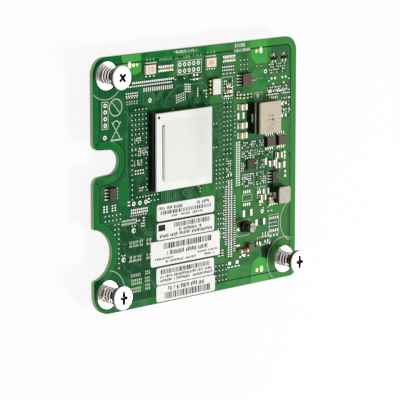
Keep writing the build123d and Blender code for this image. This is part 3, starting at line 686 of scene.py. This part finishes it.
def make_spring(corner):
    low, high = span(f"spring_{corner}")
    x, y, _ = SCREW_PLACES[corner]
    bottom, top = low.z + WIRE_RADIUS, high.z - WIRE_RADIUS
    coil_radius = (high.x - low.x) / 2 - WIRE_RADIUS
    steps = int(SPRING_TURNS * STEPS_PER_TURN)
    mesh = bmesh.new()
    rings = []
    for step in range(steps + 1):
        angle = tau * SPRING_TURNS * step / steps
        out = Vector((cos(angle), sin(angle), 0))
        centre = Vector((x, y, bottom + (top - bottom) * step / steps)) + out * coil_radius
        ring = []
        for side in range(WIRE_SIDES):
            around = tau * side / WIRE_SIDES
            rise = Vector((0, 0, WIRE_RADIUS * sin(around)))
            ring.append(mesh.verts.new(centre + out * (WIRE_RADIUS * cos(around)) + rise))
        rings.append(ring)
    for lower, upper in zip(rings, rings[1:]):
        for side in range(WIRE_SIDES):
            after = (side + 1) % WIRE_SIDES
            mesh.faces.new((lower[side], lower[after], upper[after], upper[side]))
    mesh.faces.new(rings[0][::-1])
    mesh.faces.new(rings[-1])
    piece = finish_piece(f"coil_{corner}", mesh, "wire", smooth=True)
    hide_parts(f"spring_{corner}")
    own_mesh(piece)

# Shank of a screw, painted dark for the shade between the coils: a thick part, a thin foot, and a
# collar under the head
SHANK_RADIUS = 1.9
SHANK_LENGTH = 4.0
SHANK_FOOT_RADIUS = 1.32
SHANK_SIDES = 24
COLLAR_RADIUS = 2.5
COLLAR_LENGTH = 2.2

def make_shank(corner):
    x, y, _ = SCREW_PLACES[corner]
    foot, top = (level.z for level in span(f"spring_{corner}"))
    mesh = bmesh.new()
    for radius, low, high in (
        (SHANK_RADIUS, top - SHANK_LENGTH, top),
        (SHANK_FOOT_RADIUS, foot, top - SHANK_LENGTH),
        (COLLAR_RADIUS, top - COLLAR_LENGTH, top),
    ):
        add_prism(mesh, circle_points(x, y, radius, SHANK_SIDES), low, high)
    finish_piece(f"shank_{corner}", mesh, "shank", body=f"screw_{corner}")

for corner in CORNERS:
    make_spring(corner)
    make_shank(corner)

# The board's outline, and the bands that follow it
TOP_LEFT_RADIUS = 6.5
TOP_RIGHT_RADIUS = 6.0
BOTTOM_RIGHT_RADIUS = 3.0
BOTTOM_LEFT_RADIUS = 8.0
NOTCH_DEPTH = 13.5
NOTCH_RADIUS = 4.95
NOTCH_ENTRY = 5.55
NOTCH_Y = 9.45
BAY_RADIUS = 10.25
BAY_X = -57.75
BAY_Y = -26.62
BAY_STEPS = 20
SMALLEST_TURN = 0.8
RIM_BANDS = (
    # name, inset, width
    ("rim_band", 1.7, 2.7), ("rim_line", 3.3, 0.5),
)
STITCH_INSET = 2.6
STITCH_PITCH = 1.15
STITCH_RADIUS = 0.16

def outline_path(inset):
    """The board's outline, moved inwards by an inset."""
    left, right = inset - HALF_LENGTH, HALF_LENGTH - inset
    bottom, top = inset - HALF_WIDTH, HALF_WIDTH - inset
    notch = NOTCH_RADIUS + inset
    notch_end = NOTCH_DEPTH - HALF_LENGTH + inset
    bay = BAY_RADIUS + inset
    bay_edge = degrees(acos((left - BAY_X) / bay))
    bay_points = arc_points(BAY_X, BAY_Y, bay, bay_edge, -2 * bay_edge, BAY_STEPS)
    return rounded([
        (right, top, max(TOP_RIGHT_RADIUS - inset, SMALLEST_TURN)),
        (left, top, max(TOP_LEFT_RADIUS - inset, SMALLEST_TURN)),
        (left, NOTCH_Y + NOTCH_ENTRY + inset, SMALLEST_TURN),
        (notch_end, NOTCH_Y + notch, notch),
        (notch_end, NOTCH_Y - notch, notch),
        (left, NOTCH_Y - NOTCH_ENTRY - inset, SMALLEST_TURN),
        *((x, y, 0) for x, y in bay_points),
        (left, bottom, max(BOTTOM_LEFT_RADIUS - inset, SMALLEST_TURN)),
        (right, bottom, max(BOTTOM_RIGHT_RADIUS - inset, SMALLEST_TURN)),
    ])

def make_rim(side):
    for name, inset, width in RIM_BANDS:
        band = Layer(f"{side}_{name}")
        band.strip(outline_path(inset), width, closed=True)
        band.finish()

def make_stitching():
    """Small holes that tie the ground copper together, in a row along the rim."""
    layer = Layer("board_stitching")
    path = outline_path(STITCH_INSET)
    run = 0.0
    for (x, y), (next_x, next_y) in zip(path, path[1:] + path[:1]):
        length = hypot(next_x - x, next_y - y)
        spot = -run % STITCH_PITCH
        while spot < length:
            share = spot / length
            layer.disc(x + (next_x - x) * share, y + (next_y - y) * share, STITCH_RADIUS, 6)
            spot += STITCH_PITCH
        run += length
    layer.finish()

# Holes, pads and solder: x, y, step across, step up, columns, rows
VIA_GRIDS = table("""
-34.6 28.6 1.95 -1.917 4 1, -36.5 26.6 1.92 -1.917 5 5, -36.5 17.1 7.7 -1.917 2 2
-36.5 13.2 1.92 -1.917 3 1, -36.5 12.8 1.92 -1.917 2 2, -36.5 8.9 7.7 -2 2 3, -36.5 3 1 -1.98 1 7
-26.9 19 1 -1.917 1 3, -26.9 6.8 1 -3.2 1 2, -30.6 -2.6 1.5 0 2 1, -32.4 -2.7 1.2 -1 2 2
-28.6 .6 -1.4 -2.2 1 3, -34 -6.3 1.6 0 8 1, -28.4 -8.5 2 0 4 1, 14.6 26.6 1.95 -1.917 3 12
20.9 22.4 1 -1.65 1 7, 8.8 18.6 1.4 0 2 1, 8.8 9 1.4 0 2 1, 10.2 3.4 2 -1.95 4 3
10.2 -2.1 2 -1.95 4 4, .2 -5.9 1.1 -1.1 1 1, 1 -6.9 0 -1.3 1 2, -51 -11.8 2 -2 5 2
-45.9 -15.7 2 -1.95 2 3, -43.9 -21.6 1 -1.95 1 7, 10 -40.5 2 -2.05 4 4, 33.7 39.9 2.4 0 2 1
33.7 34.8 2.4 0 2 1, 24.2 43.2 2 -1.9 3 3, 11.4 -18.8 1.4 -2.1 3 5, 12.8 -28.6 1.8 0 2 1
-14.2 26.9 11.7 0 2 1, -12.7 38.7 4.8 0 2 1, 31.3 34.3 1.2 -1.3 2 1, 30.9 36.8 1.2 -1.3 1 1
""")
HEADER_GRIDS = table("""
-10.3 44.35 2.56 -2.56 5 2, -50.7 31.9 1 -2.6 1 4, -50.9 19.3 1 1 1 1, -35.7 -8.6 3.25 1 3 1
-26.8 31.7 1 1 1 1, 38.7 37.4 1 1 1 1, 34.3 27.6 1 1 1 1, 37.2 -20.9 1 1 1 1
""")
# The same, then length and width
PAD_GRIDS = table("""
-36 39.3 1.05 1 22 1 .72 .8, -38.3 38 1.05 1 23 1 .72 .55, -30 36.1 1.18 1 14 1 .5 1.6
-39.4 35.4 1.15 -1 6 2 .7 .5, -39.2 33.7 1.35 -1.2 5 1 .6 .5, -39.2 32.2 1.35 -.9 5 2 .5 .4
-28.8 41.3 2.05 1 3 1 .8 .6, 4.8 41.2 1.4 1 4 1 .7 .55, -2.5 39.5 1.8 1 2 1 1 .8
-2.5 37.8 1.8 1 2 1 1 .7, -.4 31 1 1 1 4 .5 .7, 3.2 32.7 1.2 1 2 1 .7 .6, 4.4 30.2 1 1.2 1 2 .6 .6
14.2 38.5 2 1 4 1 1.1 .4, 13.7 41.2 1.05 1 7 1 .6 .7, 13.7 39.9 1.05 1 7 1 .6 .55
-34.7 4.4 1.35 -1.2 4 2 .62 .6, -51.6 -7.9 1.5 -1 2 3 .8 .6, -47.2 -7.9 1.5 -1 2 3 .8 .5
-38.4 -7.6 1 -1.3 1 2 1.3 .5, -27.6 -7.6 1 -1.3 1 2 1.1 .5, -37 -11.1 1.05 -1.15 9 2 .62 .75
-37.1 -13.3 1.3 1 7 1 .5 .5, -34.3 -15.6 1.4 1 2 1 .7 .5, -30.4 -14.8 1 -1.1 1 4 1 .45
-31.6 -17 1.6 -1 2 2 .6 .5, -36.6 -17.5 1.4 1 2 1 .5 .5, -42.1 -28.6 1.4 1 2 1 .5 .5
15.7 -8.2 1 -.95 1 26 1.1 .34, 20.8 -12.5 1 -.95 1 25 1.2 .34, 14.6 -12 1 -1.9 1 10 .6 .5
42.4 34.1 2 1 2 1 1 1, 48.8 34.1 2 1 2 1 1 1, 40.8 33.2 12 1 2 1 .8 .5, 43.4 31.8 6.3 1 2 1 .9 .8
40.9 30.5 3.3 1 4 1 .8 .55, 40.2 28.7 1.12 1 11 1 .75 .8, 39.6 27.4 1.12 1 12 1 .7 .42
52.8 28.6 1.5 -1.2 1 2 1.2 .35, 41.2 26.1 1.12 1 5 1 .42 1.1, 48.9 23.1 2.1 1 2 1 1.05 1.4
50 25.3 3.2 -1.2 2 1 .8 .7, 48.9 18 2.1 1 2 1 1.05 1.3, 50 20.1 3.2 -1 2 1 .8 .6
22.9 24.1 1 1 1 1 1.1 2.5, 22.9 20.3 3 1 2 1 1.15 2.7, 22.9 16.4 1 1 1 1 1.1 2.5
22.9 12.3 1 1 1 1 1.1 2.5, 26.3 -20.6 4.4 1 2 1 1.3 2.8, 33.8 -25.4 4.6 1 2 1 1.3 2.7
26.2 -11.6 1.15 1 4 1 .7 1.3, 26.2 -16.9 1.15 1 4 1 .7 1.3, 42 -24.6 1.1 1 5 1 .55 1.1
42 -30 1.1 1 5 1 .55 1.3, 41.6 -26.6 1.3 -1.5 4 2 .8 .4, 42.4 -32.2 1.9 1 3 1 .9 .7
37.5 -31.1 1.6 1 3 1 .4 2.4, 35.4 -11.6 1 -2.6 1 3 .9 .6, 38 -12.9 1 1 1 1 1 2.6
40.8 -12.9 1 1 1 1 .9 2.6, 36 -16.5 1 -1.7 1 2 .9 .6, 42.2 -14.4 1 1 1 1 1.2 1.2
46 -18.7 -1.3 1 2 1 .8 .9, 40.8 -21.3 2 1 2 1 1 .5, 23.2 -26.8 1 1 1 1 1.5 1.5
22.9 -33.6 1 1 1 1 2.2 .7, 26.2 -38 1 1 1 1 2.4 .7, 11.8 -34.2 2 -1.1 2 3 1.1 .45
18 -40.4 4.4 1.6 2 1 1.6 1.4, 24.2 -38.6 2.4 -.9 3 1 1.1 .6, 17.4 -42 2 1 4 1 1.2 .5
37.8 -19.6 3 1 2 1 .7 .5
""")
VIA_RADIUS = 0.285
VIA_MARGIN = 0.29
PAD_MARGIN = 0.5
RING_RADIUS, RING_SIDES = 0.88, 16
HOLE_RADIUS, HOLE_SIDES = 0.42, 12

def make_rings(side, grids):
    """Plated holes, each a bright ring about a dark middle."""
    rings, holes = Layer(f"{side}_rings"), Layer(f"{side}_holes")
    for grid in grids:
        rings.discs(*grid, RING_RADIUS, RING_SIDES)
        holes.discs(*grid, HOLE_RADIUS, HOLE_SIDES)
    finish_all(rings, holes)

def make_holes_and_pads():
    margins, vias, pads = Layer("board_via_margins"), Layer("board_vias"), Layer("board_pads")
    for grid in VIA_GRIDS:
        margins.discs(*grid, VIA_RADIUS + VIA_MARGIN)
        vias.discs(*grid, VIA_RADIUS)
    for *grid, length, width in PAD_GRIDS:
        margins.blocks(*grid, length + PAD_MARGIN, width + PAD_MARGIN)
        pads.blocks(*grid, length, width)
    finish_all(margins, vias, pads)
    make_rings("header", HEADER_GRIDS)

# Print: an arc about each screw, and rows of plain bars and dashes
CORNER_ARCS = {
    # start and sweep on the component side, then on the underside
    "top_left": (227, 88, 200, 240), "bottom_left": (-10, 92, -60, 150),
    "bottom_right": (60, 170, 30, 210),
}
CORNER_ARC, CORNER_ARC_STEPS = (9.52, 9.3), 30
BACK_ARC, BACK_ARC_STEPS = (6.6, 6.35), 24
# Left, right, y and height of each row
BOLD_ROWS = table("20.4 29.6 47.3 1.1, 20.8 26.4 49.4 1.5, -12.4 -.6 49.6 1")
FAINT_ROWS = table("-21.5 2 47.3 1.1, -13.8 -1.2 49.8 .9")
LABEL_BARS = table("""
-21.2 7 -14.3 1.5, -13.8 6.4 -19.9 1.9, -19.6 6.6 -27.9 2.4, -21.2 6.6 -38.3 1.9, -19 6.8 -48.2 2.7
""")
LABEL_DASHES = table("""
-22.3 -9.6 -12.5 1.4, -1 6.4 -12.3 1.4, -15 2.4 -16 .9, -11 2.6 -22 1.3, -22.3 8 -23.7 1.4
-17.6 4.6 -30.8 1.9, -25 -14.4 -32.9 .85, -.4 10.8 -32.8 .85, -18.4 -2 -34.3 .95
3.4 9.2 -34.2 .9, -21.4 7.4 -40.3 1.15, -21.4 7.4 -41.9 1.2, -17 3 -45.4 1.9
""")
BAR_WIDTHS = (0.25, 0.4, 0.4, 0.75)
BAR_GAPS = (0.25, 0.35, 0.5)
DASH_WIDTHS = (0.3, 0.66)
DASH_HEIGHTS = (0.75, 1.0)
DASH_GAPS = (0.26, 0.42)
DASH_MISSING = 0.14

def add_bars(layer, draw, left, right, y, height):
    """A row of upright bars of uneven width."""
    x = left
    while x < right:
        width = draw.choice(BAR_WIDTHS)
        layer.block(x + width / 2, y, width, height)
        x += width + draw.choice(BAR_GAPS)

def add_dashes(layer, draw, left, right, y, height):
    """A row of small upright dashes of uneven size, as far-off print looks."""
    x = left
    while x < right:
        width = draw.uniform(*DASH_WIDTHS)
        tall = height * draw.uniform(*DASH_HEIGHTS)
        if draw.random() > DASH_MISSING:
            layer.block(x + width / 2, y + (height - tall) / 2 * draw.choice((-1, 1)), width, tall)
        x += width + draw.uniform(*DASH_GAPS)

def make_print():
    lines, faint = Layer("board_print"), Layer("board_print_faint")
    bars, dashes = Layer("label_bars"), Layer("label_words")
    for corner, (start, sweep, *_) in CORNER_ARCS.items():
        x, y, _ = SCREW_PLACES[corner]
        lines.ring(x, y, *CORNER_ARC, start, sweep, CORNER_ARC_STEPS)
    label = Random(23)
    for draw, add, layer, rows in (
        (Random(3), add_bars, lines, BOLD_ROWS), (Random(11), add_dashes, faint, FAINT_ROWS),
        (label, add_bars, bars, LABEL_BARS), (label, add_dashes, dashes, LABEL_DASHES),
    ):
        for row in rows:
            add(layer, draw, *row)
    finish_all(lines, faint, bars, dashes)

# Small chip parts that stand among the larger ones: x, y, step across, count, length, width
SMALL_PARTS = table("""
-22.1 43.7 1.22 7 2.4 .75, 13.8 44.6 1.08 7 2.6 .7, 21.9 28.6 0 1 1.7 .8, 23.6 28.4 0 1 1.7 .8
25.8 28.2 2.2 2 1.8 .9, 30 28.2 0 1 1.7 .8, 14.8 30 1.7 3 1.7 .8, 18.6 32 0 1 1.7 .8
41 -1.2 0 1 2 .9
""")
ROW_COUNT = 7
END_SHARE = 0.26
BODY_SHARE = 0.92

def make_small_parts():
    bodies, row_bodies = Layer("small_part_bodies"), Layer("row_part_bodies")
    ends = Layer("small_part_ends")
    for x, y, step, count, length, width in SMALL_PARTS:
        end = length * END_SHARE
        body = length - end
        inner = row_bodies if count == ROW_COUNT else bodies
        inner.blocks(x, y, step, 0, count, 1, width * BODY_SHARE, body)
        ends.blocks(x, y - body / 2, step, body, count, 2, width, end)
    finish_all(bodies, row_bodies, ends)

# Faint parts of the lower left, each two short pale bars: x, y, step across, count, length
FAINT_PARTS = table("""
-38.1 -24.7 1.1 3 2.6, -34.7 -24.7 .9 2 2.6, -32.3 -24.7 1 2 2.8, -28.6 -24.8 1 3 2.8
-38.2 -30.7 1 7 2.6, -28.8 -30.7 1.1 3 2.4, -37.2 -37.4 .9 6 1.2, -29.4 -37.2 1 3 1.6
-37 -40.1 1 6 2.4, -29.6 -40 1 3 2.2, -38 -43.4 .9 7 2.2, -29.4 -43 1 3 2.6
""")
FAINT_WIDTH = 0.5
FAINT_REACH = 0.28
FAINT_BAR = 0.38

def make_faint_parts():
    bars = Layer("faint_part_bars")
    for x, y, step, count, length in FAINT_PARTS:
        reach = length * FAINT_REACH
        bars.blocks(x, y - reach, step, 2 * reach, count, 2, FAINT_WIDTH, length * FAINT_BAR)
    bars.finish()

# Crowded ground among the larger parts: small plates at uneven places and angles
# Left, bottom, right, top, step across, step up, share that is dark
CROWDED_FIELDS = table("""
24.6 6.4 38.4 10.2 .95 1 .35, 24.6 1.9 38.2 6.2 1 .95 .25, 24.8 -9.6 34.8 -3.2 .95 .95 .25
35.4 -9.6 39.8 -3 .95 .95 .3, 32.4 -2.8 38.6 1.8 1 1 .25, 15.8 -2.6 19.4 3.6 .95 1.1 .1
24.4 -2.9 27.9 1.8 .9 .95 .3, 38.6 2 43.4 4.4 .95 .95 .2, 20.6 28.6 25.4 31.6 1.1 1.1 .3
40.2 36 51.4 40.9 1.15 1.15 .3, 14 27.6 20 37 1.2 1.2 .3, 39.4 27 52.2 31.6 .95 .95 .2
47.4 17 53.4 26.2 1.5 1.5 .3, -35.6 15.2 -31.2 17.8 .95 .85 .1, -33.6 10 -27.8 13.6 .95 .85 .1
-35.9 6.2 -30.6 8.8 .95 .85 .1
""")
DULL_SHARE = 0.5
CROWDED_MISSING = 0.1
CROWDED_STRAY = (-0.12, 0.12)
CROWDED_LENGTHS = (0.38, 0.62)
CROWDED_WIDTHS = (0.38, 0.66)
CROWDED_TURNS = (0, 25, 50)
CROWDED_MARGIN = 0.24

def make_crowded_fields():
    ground, margins = Layer("crowded_ground"), Layer("crowded_margins")
    pale, dull, dark = Layer("crowded_pale"), Layer("crowded_dull"), Layer("crowded_dark")
    draw = Random(5)
    for left, bottom, right, top, step_x, step_y, dark_share in CROWDED_FIELDS:
        ground.area(left, bottom, right, top)
        for column in range(int((right - left) / step_x)):
            for row in range(int((top - bottom) / step_y)):
                chance = draw.random()
                layer = dark if chance < dark_share else dull if chance < DULL_SHARE else pale
                x = left + step_x * (column + 0.5 + draw.uniform(*CROWDED_STRAY))
                y = bottom + step_y * (row + 0.5 + draw.uniform(*CROWDED_STRAY))
                if draw.random() > CROWDED_MISSING:
                    length, width = draw.uniform(*CROWDED_LENGTHS), draw.uniform(*CROWDED_WIDTHS)
                    turn = draw.choice(CROWDED_TURNS)
                    layer.block(x, y, length, width, turn)
                    more = CROWDED_MARGIN
                    margins.block(x - more / 2, y, length + more, width + more, turn)
    finish_all(ground, margins, pale, dull, dark)

# Marks on the lid, from its middle: x, y, width and length, or x, y and radius
LID_GROOVE = (-11.606, -0.374, 1.5, 23.0)
LID_GROOVE_DEPTH = 0.25
GROOVE_END_STEPS = 8
GROOVE_SHADE = 0.5
GROOVE_SHADE_SHARE = 0.8
LID_PANEL_LEFT = -10.7
LID_MARGIN = 3.2
LID_DIMPLE = (-14.102, 13.978, 0.62)
DIMPLE_SIDES = 16
SHADOW_WIDTH, SHADOW_FRONT, SHADOW_END = 1.1, 0.3, 0.4

def make_lid_marks():
    """A painted shadow left of the chip, a darker middle on the lid that leaves a lighter rim as
    painted light, and shade in its groove and dimple.
    """
    x, y, _ = middle("chip_lid")
    edge, _, top = span("chip_lid")[1]
    reach = edge - x - LID_MARGIN
    low, high = span("chip_substrate")
    # Painted shadow: a black strip along the chip's left side
    left_shadow = Layer("chip_left_fillet")
    left = low.x - SHADOW_WIDTH
    front = low.y - SHADOW_FRONT
    left_shadow.plate([(left, front), (low.x, front), (low.x, high.y), (left, high.y - SHADOW_END)])
    # Painted light: the panel darkens the lid's middle, leaving a lighter rim where light catches
    # the raised frame, and its shade drifts lighter to the left
    panel = Layer("lid_panel")
    panel.area(x + LID_PANEL_LEFT, y - reach, x + reach, y + reach)
    across, up, width, length = LID_GROOVE
    groove_x, groove_y, end = x + across, y + up, width / 2
    straight = length / 2 - end
    groove = Layer("lid_groove", top - LID_GROOVE_DEPTH)
    groove.plate([
        *arc_points(groove_x, groove_y + straight, end, 0, 180, GROOVE_END_STEPS),
        *arc_points(groove_x, groove_y - straight, end, 180, 180, GROOVE_END_STEPS),
    ])
    shade = Layer("lid_groove_shade", groove.high)
    shade_x = groove_x - end + LID_GROOVE_DEPTH + GROOVE_SHADE / 2
    shade.block(shade_x, groove_y, GROOVE_SHADE, length - width)
    shade.block(groove_x, groove_y + straight, width * GROOVE_SHADE_SHARE, GROOVE_SHADE)
    across, up, radius = LID_DIMPLE
    dimple = Layer("lid_dimple")
    dimple.disc(x + across, y + up, radius, DIMPLE_SIDES)
    finish_all(left_shadow, panel, groove, shade, dimple)

# Bare metal on top of the small round capacitor, with a black segment on its left
CAN_EDGE = 0.25
CAN_SIDES = 28
CAN_MARK_START, CAN_MARK_SWEEP, CAN_MARK_STEPS = 128, 104, 14

def make_can_top():
    x, y, _ = middle("electrolytic_can")
    low, high = span("electrolytic_can")
    radius = (high.x - low.x) / 2 - CAN_EDGE
    metal = Layer("can_top")
    metal.disc(x, y, radius, CAN_SIDES)
    mark = Layer("can_mark", metal.high)
    mark.plate(arc_points(x, y, radius, CAN_MARK_START, CAN_MARK_SWEEP, CAN_MARK_STEPS))
    finish_all(metal, mark)

# Details that follow the larger parts
EDGE_WIDTH, EDGE_HEIGHT = 0.08, 0.35
CLIP_HIGHLIGHT_WIDTH, CLIP_HIGHLIGHT_LEVEL = 0.6, 0.8
OSCILLATOR_PADS = (31.5, 33.0, 34.8, 36.3)
OSCILLATOR_PAD = (0.7, 0.85)
OSCILLATOR_GAP, OSCILLATOR_GAP_SHIFT = (0.3, 0.5), (-0.1, 0.75)
TRANSISTOR_PADS = ((-0.95, -1.5), (0.95, -1.5), (0.0, 1.5), (-1.1, 0.9))
TRANSISTOR_PAD = (0.6, 0.8)
TRANSISTOR_HALF = 1.45

def make_part_details():
    low, high = span("large_inductor_base")
    edge = Layer("inductor_edge", high.z - EDGE_HEIGHT)
    edge.block(low.x - EDGE_WIDTH / 2, (low.y + high.y) / 2, EDGE_WIDTH, high.y - low.y)
    # A painted highlight: a white strip on the left face of the large inductor's terminals
    low, high = span("large_inductor_terminals")
    clip = Layer("inductor_clip", FACE + CLIP_HIGHLIGHT_LEVEL)
    clip.block(low.x - CLIP_HIGHLIGHT_WIDTH / 2, (low.y + high.y) / 2, CLIP_HIGHLIGHT_WIDTH, high.y - low.y)
    pads, gaps = Layer("oscillator_pads"), Layer("oscillator_gaps")
    left = span("oscillator_base")[0].x
    shift_x, shift_y = OSCILLATOR_GAP_SHIFT
    for y in OSCILLATOR_PADS:
        pads.block(left - OSCILLATOR_PAD[0] / 2, y, *OSCILLATOR_PAD)
        gaps.block(left + shift_x, y + shift_y, *OSCILLATOR_GAP)
    feet = Layer("transistor_pads")
    low, high = span("small_transistor_bodies")
    for x in (low.x + TRANSISTOR_HALF, high.x - TRANSISTOR_HALF):
        for across, up in TRANSISTOR_PADS:
            feet.block(x + across, (low.y + high.y) / 2 + up, *TRANSISTOR_PAD)
    finish_all(edge, clip, pads, gaps, feet)

# The underside: the same holes come through, with a field of them behind the chip
BACK_CHIP_PITCH = 1.4
BACK_CHIP_REACH = 9
BACK_CHIP_RADIUS = 0.28
CONNECTOR_MARGIN_X, CONNECTOR_MARGIN_Y = 3, 1

def outside_connector(x, y, *_):
    """Whether a place is clear of the connector housing and its rows of solder."""
    low, high = span("connector_housing")
    inside_x = low.x - CONNECTOR_MARGIN_X < x < high.x + CONNECTOR_MARGIN_X
    return not (inside_x and low.y - CONNECTOR_MARGIN_Y < y < high.y + CONNECTOR_MARGIN_Y)

def make_back():
    make_rim("back")
    vias = Layer("back_vias")
    for grid in VIA_GRIDS:
        if outside_connector(*grid):
            vias.discs(*grid, VIA_RADIUS)
    centre = middle("chip_substrate")
    for i in range(-BACK_CHIP_REACH, BACK_CHIP_REACH + 1):
        for j in range(-BACK_CHIP_REACH, BACK_CHIP_REACH + 1):
            x, y = centre.x + i * BACK_CHIP_PITCH, centre.y + j * BACK_CHIP_PITCH
            if (i + j) % 2 and outside_connector(x, y):
                vias.disc(x, y, BACK_CHIP_RADIUS, 8)
    vias.finish()
    make_rings("back", [grid for grid in HEADER_GRIDS if outside_connector(*grid)])
    lines = Layer("back_print")
    for corner, (*_, start, sweep) in CORNER_ARCS.items():
        x, y, _ = SCREW_PLACES[corner]
        lines.ring(x, y, *BACK_ARC, start, sweep, BACK_ARC_STEPS)
    lines.finish()

make_rim("board")
make_stitching()
make_holes_and_pads()
make_print()
make_small_parts()
make_faint_parts()
make_crowded_fields()
make_lid_marks()
make_can_top()
make_part_details()
make_back()
for name in pieces:
    if name not in bpy.data.objects:
        Layer(name).finish()

# Camera, light and floor

def add_camera():
    side = cos(VIEW_RISE)
    back = Vector((-sin(VIEW_SIDE) * side, sin(VIEW_RISE), cos(VIEW_SIDE) * side))
    across = Vector((0, 1, 0)).cross(back).normalized()
    camera = bpy.data.objects.new("camera", bpy.data.cameras.new("camera"))
    camera.data.sensor_width = SENSOR_WIDTH
    camera.data.lens = FOCAL_PIXELS * SENSOR_WIDTH / IMAGE_PIXELS
    camera.data.clip_start = CLIP_START
    matrix = Matrix((across, back.cross(across), back)).transposed().to_4x4()
    matrix.translation = (Vector((*VIEW_TARGET, FACE)) + back * VIEW_DISTANCE) * MM
    camera.matrix_world = matrix
    bpy.context.scene.collection.objects.link(camera)
    bpy.context.scene.camera = camera

def add_lamp(name, place, size, power):
    """A square lamp, turned to the card."""
    lamp = bpy.data.objects.new(name, bpy.data.lights.new(name, "AREA"))
    lamp.data.size = size
    lamp.data.energy = power
    lamp.location = place
    lamp.rotation_euler = (-Vector(place)).to_track_quat("-Z", "Y").to_euler()
    bpy.context.scene.collection.objects.link(lamp)

def seen_directly(tree):
    """One for camera, glossy and transmission rays, nought for the rest."""
    path = add_node(tree, "LightPath").outputs
    either = calculate(tree, "MAXIMUM", path["Is Camera Ray"], path["Is Glossy Ray"])
    return calculate(tree, "MAXIMUM", either, path["Is Transmission Ray"])

def set_world():
    world = bpy.data.worlds.new("surroundings")
    bpy.context.scene.world = world
    world.use_nodes = True
    tree = world.node_tree
    levels = {"Value": seen_directly(tree), "To Min": AMBIENT, "To Max": 1.0}
    level = add_node(tree, "MapRange", levels)
    background = tree.nodes["Background"].inputs
    background["Color"].default_value = (1, 1, 1, 1)
    tree.links.new(level.outputs["Result"], background["Strength"])

def add_floor_glow(tree):
    """Lifts the floor to white for the eye alone, and keeps part of its shading for the shadow."""
    blend = add_node(tree, "MixShader", {
        "Fac": calculate(tree, "MULTIPLY", seen_directly(tree), FLOOR_GLOW),
        1: tree.nodes["Principled BSDF"].outputs["BSDF"],
        2: add_node(tree, "Emission").outputs["Emission"],
    })
    tree.links.new(blend.outputs["Shader"], tree.nodes["Material Output"].inputs["Surface"])

def add_floor():
    mesh = bmesh.new()
    bmesh.ops.create_grid(mesh, x_segments=4, y_segments=4, size=FLOOR_SIZE / 2)
    data = bpy.data.meshes.new("floor")
    mesh.to_mesh(data)
    mesh.free()
    floor = bpy.data.objects.new("floor", data)
    add_floor_glow(paints["floor_paint"].node_tree)
    data.materials.append(paints["floor_paint"])
    bpy.context.scene.collection.objects.link(floor)

add_camera()
set_world()
add_floor()
for lamp in LAMPS:
    add_lamp(*lamp)

bpy.context.scene.view_settings.view_transform = "Standard"
